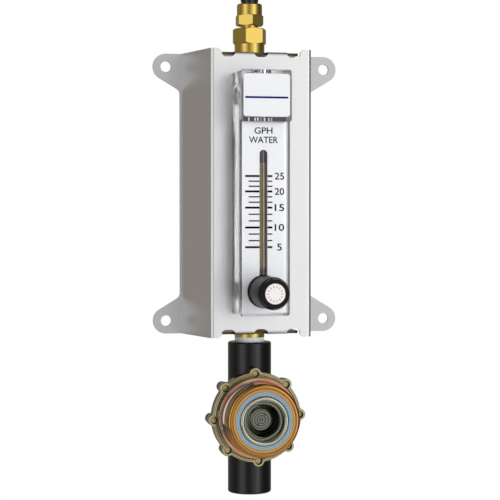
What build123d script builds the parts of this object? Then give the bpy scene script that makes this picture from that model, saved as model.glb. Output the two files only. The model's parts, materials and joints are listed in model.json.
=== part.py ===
from build123d import *
import os

# Wall-hung water flow meter panel. A folded stainless bracket carries a clear
# variable-area flow meter with a needle valve, a push-in tube outlet on top and
# a diaphragm pressure regulator hanging below.
#
# Millimetres. X runs to the right, Y from the room into the wall and Z up. The
# origin is the middle of the four wall holes, on the wall. Distances out of the
# wall are positive in the sizes below and lie at negative Y.

# Bracket: one folded sheet
sheet = 2.0
face_width = 76.8
bracket_height = 216.0
bracket_depth = 55.0
side_flare = 12.5
fold_inside = 1.0
hole_spacing_x = 126.0
hole_inset = 10.0
ear_hole_diameter = 8.2
ear_length = 29.0
ear_root_fillet = 5.0
shelf_width = 60.0
shelf_depth = 47.0
shelf_step = 2.2
tab_slant = 2.5
notch_width = 10.0
notch_pitch = 25.2
notch_drop = 6.2
notch_reach = 7.0
notch_corner = 3.0
shelf_skirt = 12.4

# Where the water way stands
axis_x = -3.4
pipe_set_back = 24.5
elbow_clearance = 7.3
elbow_rise = 24.0

# Meter body: one clear block with side rails and a raised header
meter_width = 38.0
meter_head = 17.5
meter_foot = 17.8
meter_corner = 2.0
header_height = 38.0
floor_thickness = 20.5
rail_thickness = 25.4
header_thickness = 31.0
rail_width = 1.85
foot_rail = 2.0
plate_thickness = 0.5
slot_width = 6.0
slot_rise = 104.3
label_width = 34.8
label_height = 31.2
label_drop = 3.1
label_corner = 2.2
label_thickness = 0.3
retainer_width = 32.0
retainer_height = 3.6
retainer_thickness = 2.0

# Metering way inside the body
bore_depth = 13.0
bore_radius = 4.1
bore_floor_rise = 7.0
tube_radius = 4.0
tube_small_bore = 2.78
tube_large_bore = 3.25
stop_thickness = 1.1
stop_slot_width = 1.1
stop_bore_radius = 1.95
stop_hole_radius = 0.6
stop_hole_ring_radius = 1.75
stop_holes = 3
seal_depth = 1.0
seal_groove_width = 1.1
tube_seal_height = 1.2
float_radius = 2.7
float_length = 9.2
float_waist_radius = 1.9
tube_length = 85.5
upper_stop_length = 21.7
plug_radius = 6.5
plug_socket_depth = 10.0
plug_length = 8.0
plug_slot = 1.1
plug_slot_depth = 1.1
port_radius = 6.6
port_depth = 7.0
passage_radius = 2.5
orifice_radius = 1.6
orifice_length = 2.5

# Needle valve
cavity_radius = 6.5
gland_flats = 14.0
gland_head = 8.0
gland_shank = 7.5
stem_radius = 2.0
land_radius = 2.93
land_length = 4.0
land_set_in = 0.5
needle_tip_radius = 0.4
needle_point_reach = 0.2
seal_bore_radius = 3.0
seal_bore_length = 9.0
stem_in_knob = 24.7
valve_turns = 5
valve_pitch = 0.79375
knob_gap = 0.3
knob_length = 35.7
knob_radius = 11.9
knob_collar_radius = 12.3
knob_collar = 2.0
knob_groove = 1.0
knob_groove_radius = 11.2
knob_ribs = 60
knob_rib_radius = 0.42
knob_nose_radius = 10.5
knob_nose = 3.5
knob_gland_play = 0.8
knob_cavity_play = 0.5
knob_web = 3.0
knob_screw_radius = 1.5
knob_screw_length = 8.0
knob_screw_hole = 9.0
knob_screw_head = 2.0
knob_screw_head_radius = 3.0
cap_radius = 7.45
cap_proud = 0.4
cap_thickness = 2.0
cap_ledge = 1.5
cap_edge = 0.4

# Brass fittings
thread_play = 0.05
elbow_radius = 8.5
elbow_bore = 4.5
elbow_bend = 10.0
elbow_mouth_radius = 11.0
elbow_mouth = 12.0
elbow_shoulder_depth = 10.5
socket_radius = 7.05
washer_radius = 11.0
washer_thickness = 1.4
nut_flats = 19.0
nut_thickness = 6.0
collar_radius = 11.35
shelf_hole_radius = 11.75
coupling_flats = 23.0
coupling_turn = 5.3
coupling_stand = 7.5
coupling_hex = 11.9
hex_crown = 1.7
neck_radius = 6.5
neck_length = 2.2
fitting_flats = 19.05
fitting_turn = 30.0
fitting_hex = 8.1
fitting_radius = 9.55
fitting_body = 8.5
fitting_shank = 12.0
fitting_shank_radius = 6.15
fitting_edge = 0.9
collet_radius = 6.3
collet_bore = 4.85
collet_flange_radius = 6.75
collet_flange = 2.7
collet_travel = 1.5
collet_length = 10.2
collet_slots = 4
collet_slot_width = 0.8
collet_gap = 0.3
collet_edge = 0.8
grab_ring_thickness = 0.6
grab_ring_play = 0.1
grab_ring_teeth = 12
grab_tooth_gap = 0.5
tube_stop_radius = 3.6
nipple_drop = 1.2
nipple_thread_radius = 10.2
nipple_thread = 15.0
nipple_gap = 3.5
tape_radius = 11.3
tape_height = 3.4

# Regulator
regulator_drop = 55.3
body_radius = 16.5
body_length = 115.1
body_edge = 1.4
pipe_port_radius = 10.3
pipe_port_depth = 18.0
waterway_radius = 3.2
waterway_offset = 7.0
boss_rim_inset = 3.0
boss_lobe_inset = 0.5
boss_flange = 6.0
boss_neck = 8.0
boss_neck_radius = 26.0
chamber_radius = 25.0
chamber_depth = 4.0
seat_bore_radius = 7.5
seat_rear = 30.0
seat_thickness = 4.0
seat_lip = 0.3
seat_lip_width = 0.8
seat_orifice = 3.5
rear_cavity_radius = 6.0
rear_cavity_depth = 11.5
poppet_radius = 5.0
poppet_thickness = 3.0
poppet_gap = 1.5
poppet_stem_radius = 1.45
poppet_tail_gap = 2.25
poppet_collar_play = 0.3
diaphragm_thickness = 1.0
diaphragm_plate_radius = 15.0
diaphragm_plate_thickness = 1.2
screw_ring_clearance = 3.1
screw_count = 8
screw_turn = 2.2
screw_radius = 1.5
screw_head_radius = 2.5
screw_head = 1.6
screw_length = 10.0
lobe_radius = 4.4
lobe_root = 1.5
lobe_cup_radius = 2.9
lobe_cup_depth = 4.0
bonnet_flange = 8.0
bonnet_rim_width = 4.1
bonnet_rim_edge = 0.8
bead_inset = 2.0
bead_size = 0.8
lower_drum_radius = 29.9
lower_drum = 5.2
upper_drum_radius = 27.5
upper_drum = 18.3
bonnet_wall = 2.0
bonnet_corner = 2.6
step_corner = 1.3
groove_radius = 24.0
groove_size = 0.45
ring_label_outer = 21.5
ring_label_inner = 18.6
ring_label_thickness = 0.2
neck_lip_radius = 16.8
neck_lip_size = 1.6
neck_bore_radius = 15.0
neck_wall = 2.2
neck_depth = 14.0
adjuster_set_back = 2.5
adjuster_length = 10.5
adjuster_floor = 2.0
adjuster_mouth_radius = 12.2
adjuster_disc_radius = 7.9
adjuster_play = 0.07
spanner_hole_radius = 0.85
spanner_hole_ring_radius = 4.6
spanner_hole_turn = 55.0
thrust_washer_radius = 12.5
thrust_washer_thickness = 1.0
thrust_washer_bore = 6.25
range_spring_radius = 10.0
range_wire_radius = 1.0
range_spring_turns = 4
poppet_spring_radius = 3.1
poppet_wire_radius = 0.35
poppet_spring_turns = 5
seal_play = 0.02
near = 0.01

# Places that follow from the sizes
half_height = bracket_height / 2
side_foot = face_width / 2 + side_flare
ear_radius = hole_inset
hole_spacing_z = bracket_height - 2 * hole_inset
ear_tip = hole_spacing_x / 2 + ear_radius
fold_outside = fold_inside + sheet
shelf_top = half_height - shelf_step
shelf_under = shelf_top - sheet
elbow_end = shelf_under - elbow_clearance
port_z = elbow_end - elbow_rise
meter_top = port_z + meter_head
meter_height = meter_top + port_z + meter_foot
slot_top = slot_rise - port_z
bore_floor = bore_floor_rise - port_z
bore_out = bracket_depth + bore_depth
pipe_out = bracket_depth - pipe_set_back
elbow_shoulder_out = bracket_depth - elbow_shoulder_depth
coupling_hex_low = shelf_top + coupling_stand
coupling_hex_high = coupling_hex_low + coupling_hex
nipple_low = -half_height - nipple_drop
body_top = nipple_low - nipple_gap
regulator_z = body_top - regulator_drop
header_bottom = meter_top - header_height
port_floor = bracket_depth + port_depth
cavity_floor = port_floor + orifice_length
scale_floor = bracket_depth + floor_thickness
scale_face = scale_floor + plate_thickness
knob_rear = scale_face + knob_gap
stem_reach = knob_rear + stem_in_knob
tube_bottom = bore_floor + stop_thickness + tube_seal_height
tube_top = tube_bottom + tube_length
float_bottom = bore_floor + stop_thickness
float_top = float_bottom + float_length
float_travel = tube_top - float_top
valve_travel = valve_turns * valve_pitch
boss_face = pipe_out + body_radius
bonnet_rear = boss_face + diaphragm_thickness
flange_front = bonnet_rear + bonnet_flange
step_out = flange_front + lower_drum
bonnet_front = step_out + upper_drum
plate_front = bonnet_rear + diaphragm_plate_thickness
adjuster_front = bonnet_front - adjuster_set_back
adjuster_rear = adjuster_front - adjuster_length
washer_rear = adjuster_rear - thrust_washer_thickness
body_bottom = body_top - body_length
screw_ring_radius = lower_drum_radius + screw_ring_clearance
bonnet_rim_radius = lower_drum_radius + bonnet_rim_width
bead_radius = bonnet_rim_radius - bead_inset
boss_flange_radius = bonnet_rim_radius - boss_rim_inset
boss_lobe_radius = lobe_radius - boss_lobe_inset

# Planes whose normal runs along a turned group's own axis
meter_face = Plane.XZ.offset(bracket_depth)
bore_axis = Plane((axis_x, -bore_out, 0))
pipe_axis = Plane((axis_x, -pipe_out, 0))
valve_axis = Plane((axis_x, 0, -port_z), x_dir=(1, 0, 0), z_dir=(0, -1, 0))
outlet_axis = Plane((axis_x, 0, port_z), x_dir=(1, 0, 0), z_dir=(0, -1, 0))
regulator_axis = Plane((axis_x, 0, regulator_z), x_dir=(1, 0, 0), z_dir=(0, -1, 0))

on_base = (Align.CENTER, Align.CENTER, Align.MIN)
finished = []


def bar(axis, low, high, radius, mode=Mode.ADD):
    """Adds or cuts a round bar about an axis plane, between two distances along it."""
    with Locations(axis.offset(low)):
        Cylinder(radius, high - low, align=on_base, mode=mode)


def cone(axis, low, high, low_radius, high_radius, mode=Mode.ADD):
    """Adds or cuts a cone about an axis plane, between two distances along it."""
    with Locations(axis.offset(low)):
        Cone(low_radius, high_radius, high - low, align=on_base, mode=mode)


def hexagon(axis, low, high, flats, turn=0.0):
    """Hexagonal bar whose corners are turned down to a cone at both ends."""
    with BuildSketch(axis.offset(low)) as section:
        RegularPolygon(flats / 2, 6, major_radius=False, rotation=turn)
    extrude(section.sketch, amount=high - low)
    spread = (high - low) * hex_crown
    cone(axis, low, high, flats / 2 + spread, flats / 2, Mode.INTERSECT)
    cone(axis, low, high, flats / 2, flats / 2 + spread, Mode.INTERSECT)


def ring_seal(name, axis, level, inner, outer):
    """Rubber ring that lies between an inner and an outer wall."""
    section = (outer - inner) / 2 - seal_play
    with BuildPart() as seal:
        with Locations(axis.offset(level)):
            Torus((outer + inner) / 2, section)
    keep(seal.part, name)


def coil_spring(name, axis, low, high, mean_radius, wire, turns):
    """Round wire spring that stands between two faces."""
    span = high - low - 2 * wire - 2 * seal_play
    start = axis.offset(low + wire + seal_play).origin
    with BuildPart() as spring:
        with BuildLine() as helix:
            Helix(span / turns, span, mean_radius, center=start, direction=axis.z_dir)
        with BuildSketch(Plane(helix.line @ 0, z_dir=helix.line % 0)):
            Circle(wire)
        sweep(is_frenet=True)
    keep(spring.part, name)


def keep(part, name):
    """Labels a finished piece and puts it on the list to be written."""
    part.label = name
    finished.append(part)


# The bracket is drawn as its upper half and mirrored
with BuildPart() as mounting_bracket:
    with BuildSketch() as hat_section:
        with BuildLine() as hat_line:
            Polyline(
                (-ear_tip, -sheet),
                (-side_foot, -sheet),
                (-face_width / 2, -bracket_depth),
                (face_width / 2, -bracket_depth),
                (side_foot, -sheet),
                (ear_tip, -sheet),
            )
            fillet(hat_line.vertices().sort_by(Axis.Y)[:2], fold_outside)
            ends_and_feet = hat_line.vertices().sort_by(Axis.X)
            fillet([ends_and_feet[1], ends_and_feet[-2]], fold_inside)
            offset(amount=sheet, side=Side.LEFT)
        make_face()
    extrude(amount=half_height)
    # Seen from the front: the hat's own width with a rounded ear at each end
    with BuildSketch(Plane.XZ) as front_view:
        with BuildLine():
            Line((side_foot, half_height - ear_length), (side_foot, half_height))
        with Locations((hole_spacing_x / 2, hole_spacing_z / 2)):
            Circle(ear_radius)
        make_hull()
        mirror(about=Plane.YZ)
        with Locations((0, half_height / 2)):
            Rectangle(2 * (side_foot + fold_inside), half_height)
        roots = front_view.vertices().filter_by(
            lambda v: abs(abs(v.X) - side_foot - fold_inside) < near and near < v.Y < half_height - near
        )
        fillet(roots, ear_root_fillet)
        with GridLocations(hole_spacing_x, hole_spacing_z, 2, 2):
            Circle(ear_hole_diameter / 2, mode=Mode.SUBTRACT)
    extrude(amount=bracket_depth + sheet, both=True, mode=Mode.INTERSECT)
    # The front's edge gives way to the shelf between the two corner tabs
    with BuildSketch(meter_face):
        with BuildLine():
            Polyline(
                (-shelf_width / 2, shelf_top - shelf_skirt),
                (shelf_width / 2, shelf_top - shelf_skirt),
                (shelf_width / 2, shelf_top),
                (shelf_width / 2 + tab_slant, half_height),
                (-shelf_width / 2 - tab_slant, half_height),
                (-shelf_width / 2, shelf_top),
                close=True,
            )
        make_face()
    extrude(amount=-fold_outside, mode=Mode.SUBTRACT)
    with BuildSketch(Plane.YZ):
        with BuildLine() as shelf_line:
            Polyline(
                (-bracket_depth, shelf_top - shelf_skirt),
                (-bracket_depth, shelf_top),
                (shelf_depth - bracket_depth, shelf_top),
            )
            fillet(shelf_line.vertices().sort_by(Axis.X)[:2].sort_by(Axis.Y)[-1:], fold_outside)
            offset(amount=sheet, side=Side.RIGHT)
        make_face()
    extrude(amount=shelf_width / 2, both=True)
    with BuildSketch(meter_face):
        with Locations((0, shelf_top)):
            with GridLocations(notch_pitch, 1, 3, 1):
                RectangleRounded(notch_width, 2 * (notch_drop - shelf_step), notch_corner)
    extrude(amount=-notch_reach, mode=Mode.SUBTRACT)
    bar(pipe_axis, shelf_under, shelf_top, shelf_hole_radius, Mode.SUBTRACT)
    bar(outlet_axis, bracket_depth - sheet, bracket_depth, port_radius + 2 * thread_play, Mode.SUBTRACT)
    mirror(about=Plane.XY)
keep(mounting_bracket.part, "mounting_bracket")

# Clear meter body
with BuildPart() as meter_body:
    with BuildSketch(meter_face):
        with Locations((axis_x, meter_top - meter_height / 2)):
            RectangleRounded(meter_width, meter_height, meter_corner)
    extrude(amount=rail_thickness)
    with BuildSketch(meter_face):
        with Locations((axis_x, meter_top - header_height / 2)):
            RectangleRounded(meter_width, header_height, meter_corner)
    extrude(amount=header_thickness)
    recess_height = meter_height - header_height - foot_rail
    with BuildSketch(meter_face.offset(floor_thickness)):
        with Locations((axis_x, header_bottom - recess_height / 2)):
            Rectangle(meter_width - 2 * rail_width, recess_height)
    extrude(amount=header_thickness, mode=Mode.SUBTRACT)
    with BuildSketch(meter_face.offset(floor_thickness + plate_thickness)):
        with Locations((axis_x, header_bottom + retainer_height / 2)):
            Rectangle(retainer_width, retainer_height)
    extrude(amount=retainer_thickness, mode=Mode.SUBTRACT)
    bar(bore_axis, bore_floor, meter_top, bore_radius, Mode.SUBTRACT)
    bar(bore_axis, -port_z, bore_floor, passage_radius, Mode.SUBTRACT)
    bar(bore_axis, meter_top - plug_socket_depth, meter_top, plug_radius, Mode.SUBTRACT)
    bar(outlet_axis, bracket_depth, port_floor, port_radius, Mode.SUBTRACT)
    bar(outlet_axis, port_floor, bore_out, passage_radius, Mode.SUBTRACT)
    bar(valve_axis, bracket_depth, port_floor, port_radius, Mode.SUBTRACT)
    bar(valve_axis, port_floor, cavity_floor, orifice_radius, Mode.SUBTRACT)
    bar(valve_axis, cavity_floor, scale_floor, cavity_radius, Mode.SUBTRACT)
keep(meter_body.part, "meter_body")

# White plate under the scale, with the window onto the metering tube
with BuildPart() as scale_plate:
    with BuildSketch(meter_face.offset(floor_thickness)):
        with Locations((axis_x, header_bottom - recess_height / 2)):
            Rectangle(meter_width - 2 * rail_width, recess_height)
        with Locations((axis_x, slot_top - slot_width / 2)):
            Circle(slot_width / 2, mode=Mode.SUBTRACT)
        with Locations((axis_x, (slot_top - slot_width / 2 - port_z) / 2)):
            Rectangle(slot_width, slot_top - slot_width / 2 + port_z, mode=Mode.SUBTRACT)
        with Locations((axis_x, -port_z)):
            Circle(cavity_radius, mode=Mode.SUBTRACT)
    extrude(amount=plate_thickness)
keep(scale_plate.part, "scale_plate")

with BuildPart() as header_label:
    with BuildSketch(meter_face.offset(header_thickness)):
        with Locations((axis_x, meter_top - label_drop - label_height / 2)):
            RectangleRounded(label_width, label_height, label_corner)
    extrude(amount=label_thickness)
keep(header_label.part, "header_label")

with BuildPart() as scale_retainer:
    with BuildSketch(meter_face.offset(floor_thickness + plate_thickness)):
        with Locations((axis_x, header_bottom + retainer_height / 2)):
            Rectangle(retainer_width, retainer_height)
    extrude(amount=retainer_thickness)
keep(scale_retainer.part, "scale_retainer")

# Metering tube: its bore widens upwards, so the float rises with the flow
with BuildPart() as metering_tube:
    bar(bore_axis, tube_bottom, tube_top, tube_radius)
    cone(bore_axis, tube_bottom, tube_top, tube_small_bore, tube_large_bore, Mode.SUBTRACT)
keep(metering_tube.part, "metering_tube")

with BuildPart() as flow_float:
    with BuildSketch(Plane.XZ.offset(bore_out)):
        with BuildLine():
            Polyline(
                (axis_x, float_bottom),
                (axis_x + float_waist_radius, float_bottom + float_waist_radius),
                (axis_x + float_waist_radius, float_top - 2 * float_waist_radius),
                (axis_x + float_radius, float_top - float_waist_radius),
                (axis_x + float_radius, float_top),
                (axis_x, float_top),
                close=True,
            )
        make_face()
    revolve(axis=Axis((axis_x, -bore_out, 0), (0, 0, 1)))
keep(flow_float.part, "flow_float")

stop_groove_radius = bore_radius - seal_depth
stop_groove_level = tube_top + upper_stop_length / 2
with BuildPart() as upper_float_stop:
    bar(bore_axis, tube_top, tube_top + upper_stop_length, bore_radius - thread_play)
    bar(bore_axis, tube_top, tube_top + upper_stop_length, stop_bore_radius, Mode.SUBTRACT)
    with Locations(bore_axis.offset(tube_top)):
        Box(2 * tube_large_bore, stop_slot_width, stop_slot_width, align=on_base, mode=Mode.SUBTRACT)
        Box(stop_slot_width, 2 * tube_large_bore, stop_slot_width, align=on_base, mode=Mode.SUBTRACT)
    with BuildSketch(bore_axis.offset(stop_groove_level)):
        Circle(bore_radius)
        Circle(stop_groove_radius, mode=Mode.SUBTRACT)
    extrude(amount=seal_groove_width / 2, both=True, mode=Mode.SUBTRACT)
keep(upper_float_stop.part, "upper_float_stop")
ring_seal("upper_stop_seal", bore_axis, stop_groove_level, stop_groove_radius, bore_radius)

with BuildPart() as lower_float_stop:
    bar(bore_axis, bore_floor, float_bottom, bore_radius - thread_play)
    with Locations(bore_axis.offset(bore_floor)):
        with PolarLocations(stop_hole_ring_radius, stop_holes):
            Cylinder(stop_hole_radius, stop_thickness, align=on_base, mode=Mode.SUBTRACT)
keep(lower_float_stop.part, "lower_float_stop")

with BuildPart() as tube_seal:
    bar(bore_axis, float_bottom, tube_bottom, tube_radius)
    bar(bore_axis, float_bottom, tube_bottom, tube_large_bore, Mode.SUBTRACT)
keep(tube_seal.part, "tube_seal")

# Plug that closes the top of the metering way
plug_bottom = meter_top - plug_length
with BuildPart() as end_plug:
    bar(bore_axis, plug_bottom, meter_top, plug_radius - thread_play)
    with Locations(bore_axis.offset(meter_top)):
        Box(2 * plug_radius, plug_slot, 2 * plug_slot_depth, mode=Mode.SUBTRACT)
keep(end_plug.part, "end_plug")

with BuildPart() as end_plug_seal:
    socket_floor = meter_top - plug_socket_depth
    with Locations(bore_axis.offset((plug_bottom + socket_floor) / 2)):
        Torus(plug_radius - (plug_bottom - socket_floor) / 2, (plug_bottom - socket_floor) / 2 - seal_play)
keep(end_plug_seal.part, "end_plug_seal")

# Needle valve, from the seat in the body out to the knob's cap
gland_front = scale_face + gland_head
gland_rear = scale_face - gland_shank
seal_bore_front = gland_rear + seal_bore_length
with BuildPart() as valve_gland:
    hexagon(valve_axis, scale_face, gland_front, gland_flats)
    bar(valve_axis, gland_rear, scale_face, cavity_radius - thread_play)
    bar(valve_axis, gland_rear, seal_bore_front, seal_bore_radius, Mode.SUBTRACT)
    bar(valve_axis, seal_bore_front, gland_front, stem_radius + thread_play, Mode.SUBTRACT)
keep(valve_gland.part, "valve_gland")

land_rear = gland_rear + land_set_in
stem_seal_level = land_rear + land_length / 2
needle_tip = port_floor - needle_point_reach
with BuildPart() as valve_stem:
    cone(valve_axis, needle_tip, cavity_floor, needle_tip_radius, orifice_radius - seal_play)
    bar(valve_axis, cavity_floor, land_rear, orifice_radius - seal_play)
    bar(valve_axis, land_rear, land_rear + land_length, land_radius)
    with BuildSketch(valve_axis.offset(stem_seal_level)):
        Circle(land_radius)
        Circle(stem_radius, mode=Mode.SUBTRACT)
    extrude(amount=seal_groove_width / 2, both=True, mode=Mode.SUBTRACT)
    bar(valve_axis, land_rear + land_length, stem_reach, stem_radius - seal_play)
    bar(valve_axis, stem_reach - knob_screw_hole, stem_reach, knob_screw_radius, Mode.SUBTRACT)
keep(valve_stem.part, "valve_stem")
ring_seal("stem_seal", valve_axis, stem_seal_level, stem_radius, seal_bore_radius)

knob_front = knob_rear + knob_length
knob_cavity_floor = gland_front + knob_gland_play
knob_cavity_radius = gland_flats / 3**0.5 + knob_cavity_play
screw_head_rear = stem_reach + knob_web
barrel_rear = knob_rear + knob_collar + knob_groove
barrel_front = knob_front - knob_nose
cap_seat = knob_front + cap_proud - cap_thickness
with BuildPart() as knob:
    bar(valve_axis, knob_rear, knob_rear + knob_collar, knob_collar_radius)
    bar(valve_axis, knob_rear + knob_collar, barrel_rear, knob_groove_radius)
    with BuildSketch(valve_axis.offset(barrel_rear)):
        Circle(knob_radius)
        with PolarLocations(knob_radius, knob_ribs):
            Circle(knob_rib_radius, mode=Mode.SUBTRACT)
    extrude(amount=barrel_front - barrel_rear)
    cone(valve_axis, barrel_front, knob_front, knob_radius - knob_rib_radius, knob_nose_radius)
    bar(valve_axis, knob_rear, knob_cavity_floor, knob_cavity_radius, Mode.SUBTRACT)
    bar(valve_axis, knob_cavity_floor, stem_reach, stem_radius, Mode.SUBTRACT)
    bar(valve_axis, stem_reach, knob_front, knob_screw_radius + thread_play, Mode.SUBTRACT)
    bar(valve_axis, screw_head_rear, cap_seat, cap_radius - cap_ledge, Mode.SUBTRACT)
    bar(valve_axis, cap_seat, knob_front, cap_radius + thread_play, Mode.SUBTRACT)
keep(knob.part, "knob")

with BuildPart() as knob_screw:
    bar(valve_axis, stem_reach - knob_screw_length, screw_head_rear, knob_screw_radius - seal_play)
    bar(valve_axis, screw_head_rear, screw_head_rear + knob_screw_head, knob_screw_head_radius)
keep(knob_screw.part, "knob_screw")

with BuildPart() as knob_cap:
    bar(valve_axis, cap_seat, knob_front + cap_proud, cap_radius)
    fillet(knob_cap.edges().sort_by(Axis.Y)[0], cap_edge)
keep(knob_cap.part, "knob_cap")


# Elbows behind the panel, with the nut and washer that clamp the meter to it
def port_elbow(name, side):
    """Brass elbow from a meter port at the back to the pipe axis; side is 1 up or -1 down."""
    port_axis = outlet_axis if side > 0 else valve_axis
    mouth = Plane((axis_x, -pipe_out, side * elbow_end), z_dir=(0, 0, -side))
    with BuildPart() as elbow:
        with BuildLine(Plane.YZ.offset(axis_x)) as route:
            FilletPolyline(
                (-elbow_shoulder_out, side * port_z),
                (-pipe_out, side * port_z),
                (-pipe_out, side * elbow_end),
                radius=elbow_bend,
            )
        with BuildSketch(Plane(route.line @ 0, z_dir=route.line % 0)):
            Circle(elbow_radius)
        sweep()
        bar(mouth, 0, elbow_mouth, elbow_mouth_radius)
        bar(port_axis, elbow_shoulder_out, port_floor - thread_play, port_radius - thread_play)
        with BuildLine(Plane.YZ.offset(axis_x)) as waterway:
            FilletPolyline(
                (-port_floor, side * port_z),
                (-pipe_out, side * port_z),
                (-pipe_out, side * elbow_end),
                radius=elbow_bend,
            )
        with BuildSketch(Plane(waterway.line @ 0, z_dir=waterway.line % 0)):
            Circle(elbow_bore)
        sweep(mode=Mode.SUBTRACT)
        bar(mouth, 0, elbow_mouth, socket_radius, Mode.SUBTRACT)
    keep(elbow.part, name)


def panel_clamp(washer_name, nut_name, port_axis):
    """Washer and nut on an elbow's threaded leg, against the bracket's inner face."""
    washer_front = bracket_depth - sheet
    nut_front = washer_front - washer_thickness
    with BuildPart() as washer:
        bar(port_axis, nut_front, washer_front, washer_radius)
        bar(port_axis, nut_front, washer_front, port_radius + thread_play, Mode.SUBTRACT)
    keep(washer.part, washer_name)
    with BuildPart() as nut:
        hexagon(port_axis, nut_front - nut_thickness, nut_front, nut_flats)
        bar(port_axis, nut_front - nut_thickness, nut_front, port_radius, Mode.SUBTRACT)
    keep(nut.part, nut_name)


port_elbow("upper_elbow", 1)
port_elbow("lower_elbow", -1)
panel_clamp("upper_panel_washer", "upper_panel_nut", outlet_axis)
panel_clamp("lower_panel_washer", "lower_panel_nut", valve_axis)

# Coupling that rises through the upper shelf
socket_floor_z = elbow_end - elbow_mouth
coupling_socket_floor = coupling_hex_high - fitting_shank
fitting_socket_radius = fitting_shank_radius + thread_play
with BuildPart() as shelf_coupling:
    hexagon(pipe_axis, coupling_hex_low, coupling_hex_high, coupling_flats, coupling_turn)
    bar(pipe_axis, elbow_end, coupling_hex_low, collar_radius)
    bar(pipe_axis, socket_floor_z, elbow_end, socket_radius - thread_play)
    bar(pipe_axis, socket_floor_z, coupling_hex_high, elbow_bore, Mode.SUBTRACT)
    bar(pipe_axis, coupling_socket_floor, coupling_hex_high, fitting_socket_radius, Mode.SUBTRACT)
keep(shelf_coupling.part, "shelf_coupling")

# Push-in tube fitting: body, releasing collet, toothed ring and seal
fitting_hex_low = coupling_hex_high + neck_length
fitting_hex_high = fitting_hex_low + fitting_hex
fitting_top = fitting_hex_high + fitting_body
collet_top = fitting_top + collet_travel + collet_gap + collet_flange
collet_bottom = collet_top - collet_length
grab_ring_top = collet_bottom - collet_travel - grab_ring_play
grab_ring_bottom = grab_ring_top - grab_ring_thickness
tube_seat = grab_ring_bottom - 2 * (collet_radius - collet_bore)
with BuildPart() as fitting_body_part:
    hexagon(pipe_axis, fitting_hex_low, fitting_hex_high, fitting_flats, fitting_turn)
    bar(pipe_axis, fitting_hex_high, fitting_top, fitting_radius)
    chamfer(fitting_body_part.edges().sort_by(Axis.Z)[-1], fitting_edge)
    bar(pipe_axis, coupling_hex_high, fitting_hex_low, neck_radius)
    bar(pipe_axis, coupling_socket_floor + thread_play, coupling_hex_high, fitting_shank_radius)
    bar(pipe_axis, coupling_socket_floor, fitting_top, tube_stop_radius, Mode.SUBTRACT)
    bar(pipe_axis, fitting_hex_low, fitting_top, collet_bore, Mode.SUBTRACT)
    bar(pipe_axis, tube_seat, fitting_top, collet_radius + thread_play, Mode.SUBTRACT)
keep(fitting_body_part.part, "tube_fitting_body")

with BuildPart() as collet:
    bar(pipe_axis, collet_bottom, collet_top, collet_radius)
    bar(pipe_axis, collet_top - collet_flange, collet_top, collet_flange_radius)
    fillet(collet.edges().sort_by(Axis.Z)[-1], collet_edge)
    bar(pipe_axis, collet_bottom, collet_top, collet_bore, Mode.SUBTRACT)
    with Locations(pipe_axis.offset(collet_bottom)):
        with PolarLocations(collet_radius, collet_slots, start_angle=45):
            Box(
                4 * (collet_radius - collet_bore), collet_slot_width, collet_length / 2,
                align=on_base, mode=Mode.SUBTRACT,
            )
keep(collet.part, "collet")

with BuildPart() as grab_ring:
    with BuildSketch(pipe_axis.offset(grab_ring_bottom)):
        Circle(collet_radius)
        Circle(collet_bore + grab_ring_play, mode=Mode.SUBTRACT)
        with PolarLocations(collet_bore, grab_ring_teeth):
            Circle(grab_tooth_gap, mode=Mode.SUBTRACT)
    extrude(amount=grab_ring_thickness)
keep(grab_ring.part, "grab_ring")
tube_seal_level = (tube_seat + grab_ring_bottom) / 2
ring_seal(
    "outlet_tube_seal", pipe_axis, tube_seal_level,
    collet_bore + thread_play, collet_radius + thread_play,
)

# Nipple that drops through the lower shelf into the regulator
with BuildPart() as lower_nipple:
    bar(pipe_axis, -elbow_end, -socket_floor_z, socket_radius - thread_play)
    bar(pipe_axis, nipple_low, -elbow_end, collar_radius)
    bar(pipe_axis, nipple_low - nipple_thread, nipple_low, nipple_thread_radius)
    bar(pipe_axis, nipple_low - nipple_thread, -socket_floor_z, elbow_bore, Mode.SUBTRACT)
keep(lower_nipple.part, "lower_nipple")

with BuildPart() as thread_tape:
    bar(pipe_axis, nipple_low - tape_height, nipple_low, tape_radius)
    bar(pipe_axis, nipple_low - nipple_thread, nipple_low - tape_height, pipe_port_radius - seal_play)
    bar(pipe_axis, nipple_low - nipple_thread, nipple_low, nipple_thread_radius, Mode.SUBTRACT)
keep(thread_tape.part, "thread_tape")


def lobed_plate(low, high, rim, lobe, mode=Mode.ADD):
    """Round plate about the regulator's axis with a lobe at each flange screw."""
    with BuildSketch(regulator_axis.offset(low)) as outline:
        Circle(rim)
        with PolarLocations(screw_ring_radius, screw_count, start_angle=screw_turn):
            Circle(lobe)
        fillet(outline.vertices(), lobe_root)
    extrude(outline.sketch, amount=high - low, mode=mode)


def at_screws(low, high, radius, mode=Mode.SUBTRACT):
    """Round bars or holes at the flange screws' places."""
    with Locations(regulator_axis.offset(low)):
        with PolarLocations(screw_ring_radius, screw_count, start_angle=screw_turn):
            Cylinder(radius, high - low, align=on_base, mode=mode)


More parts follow.
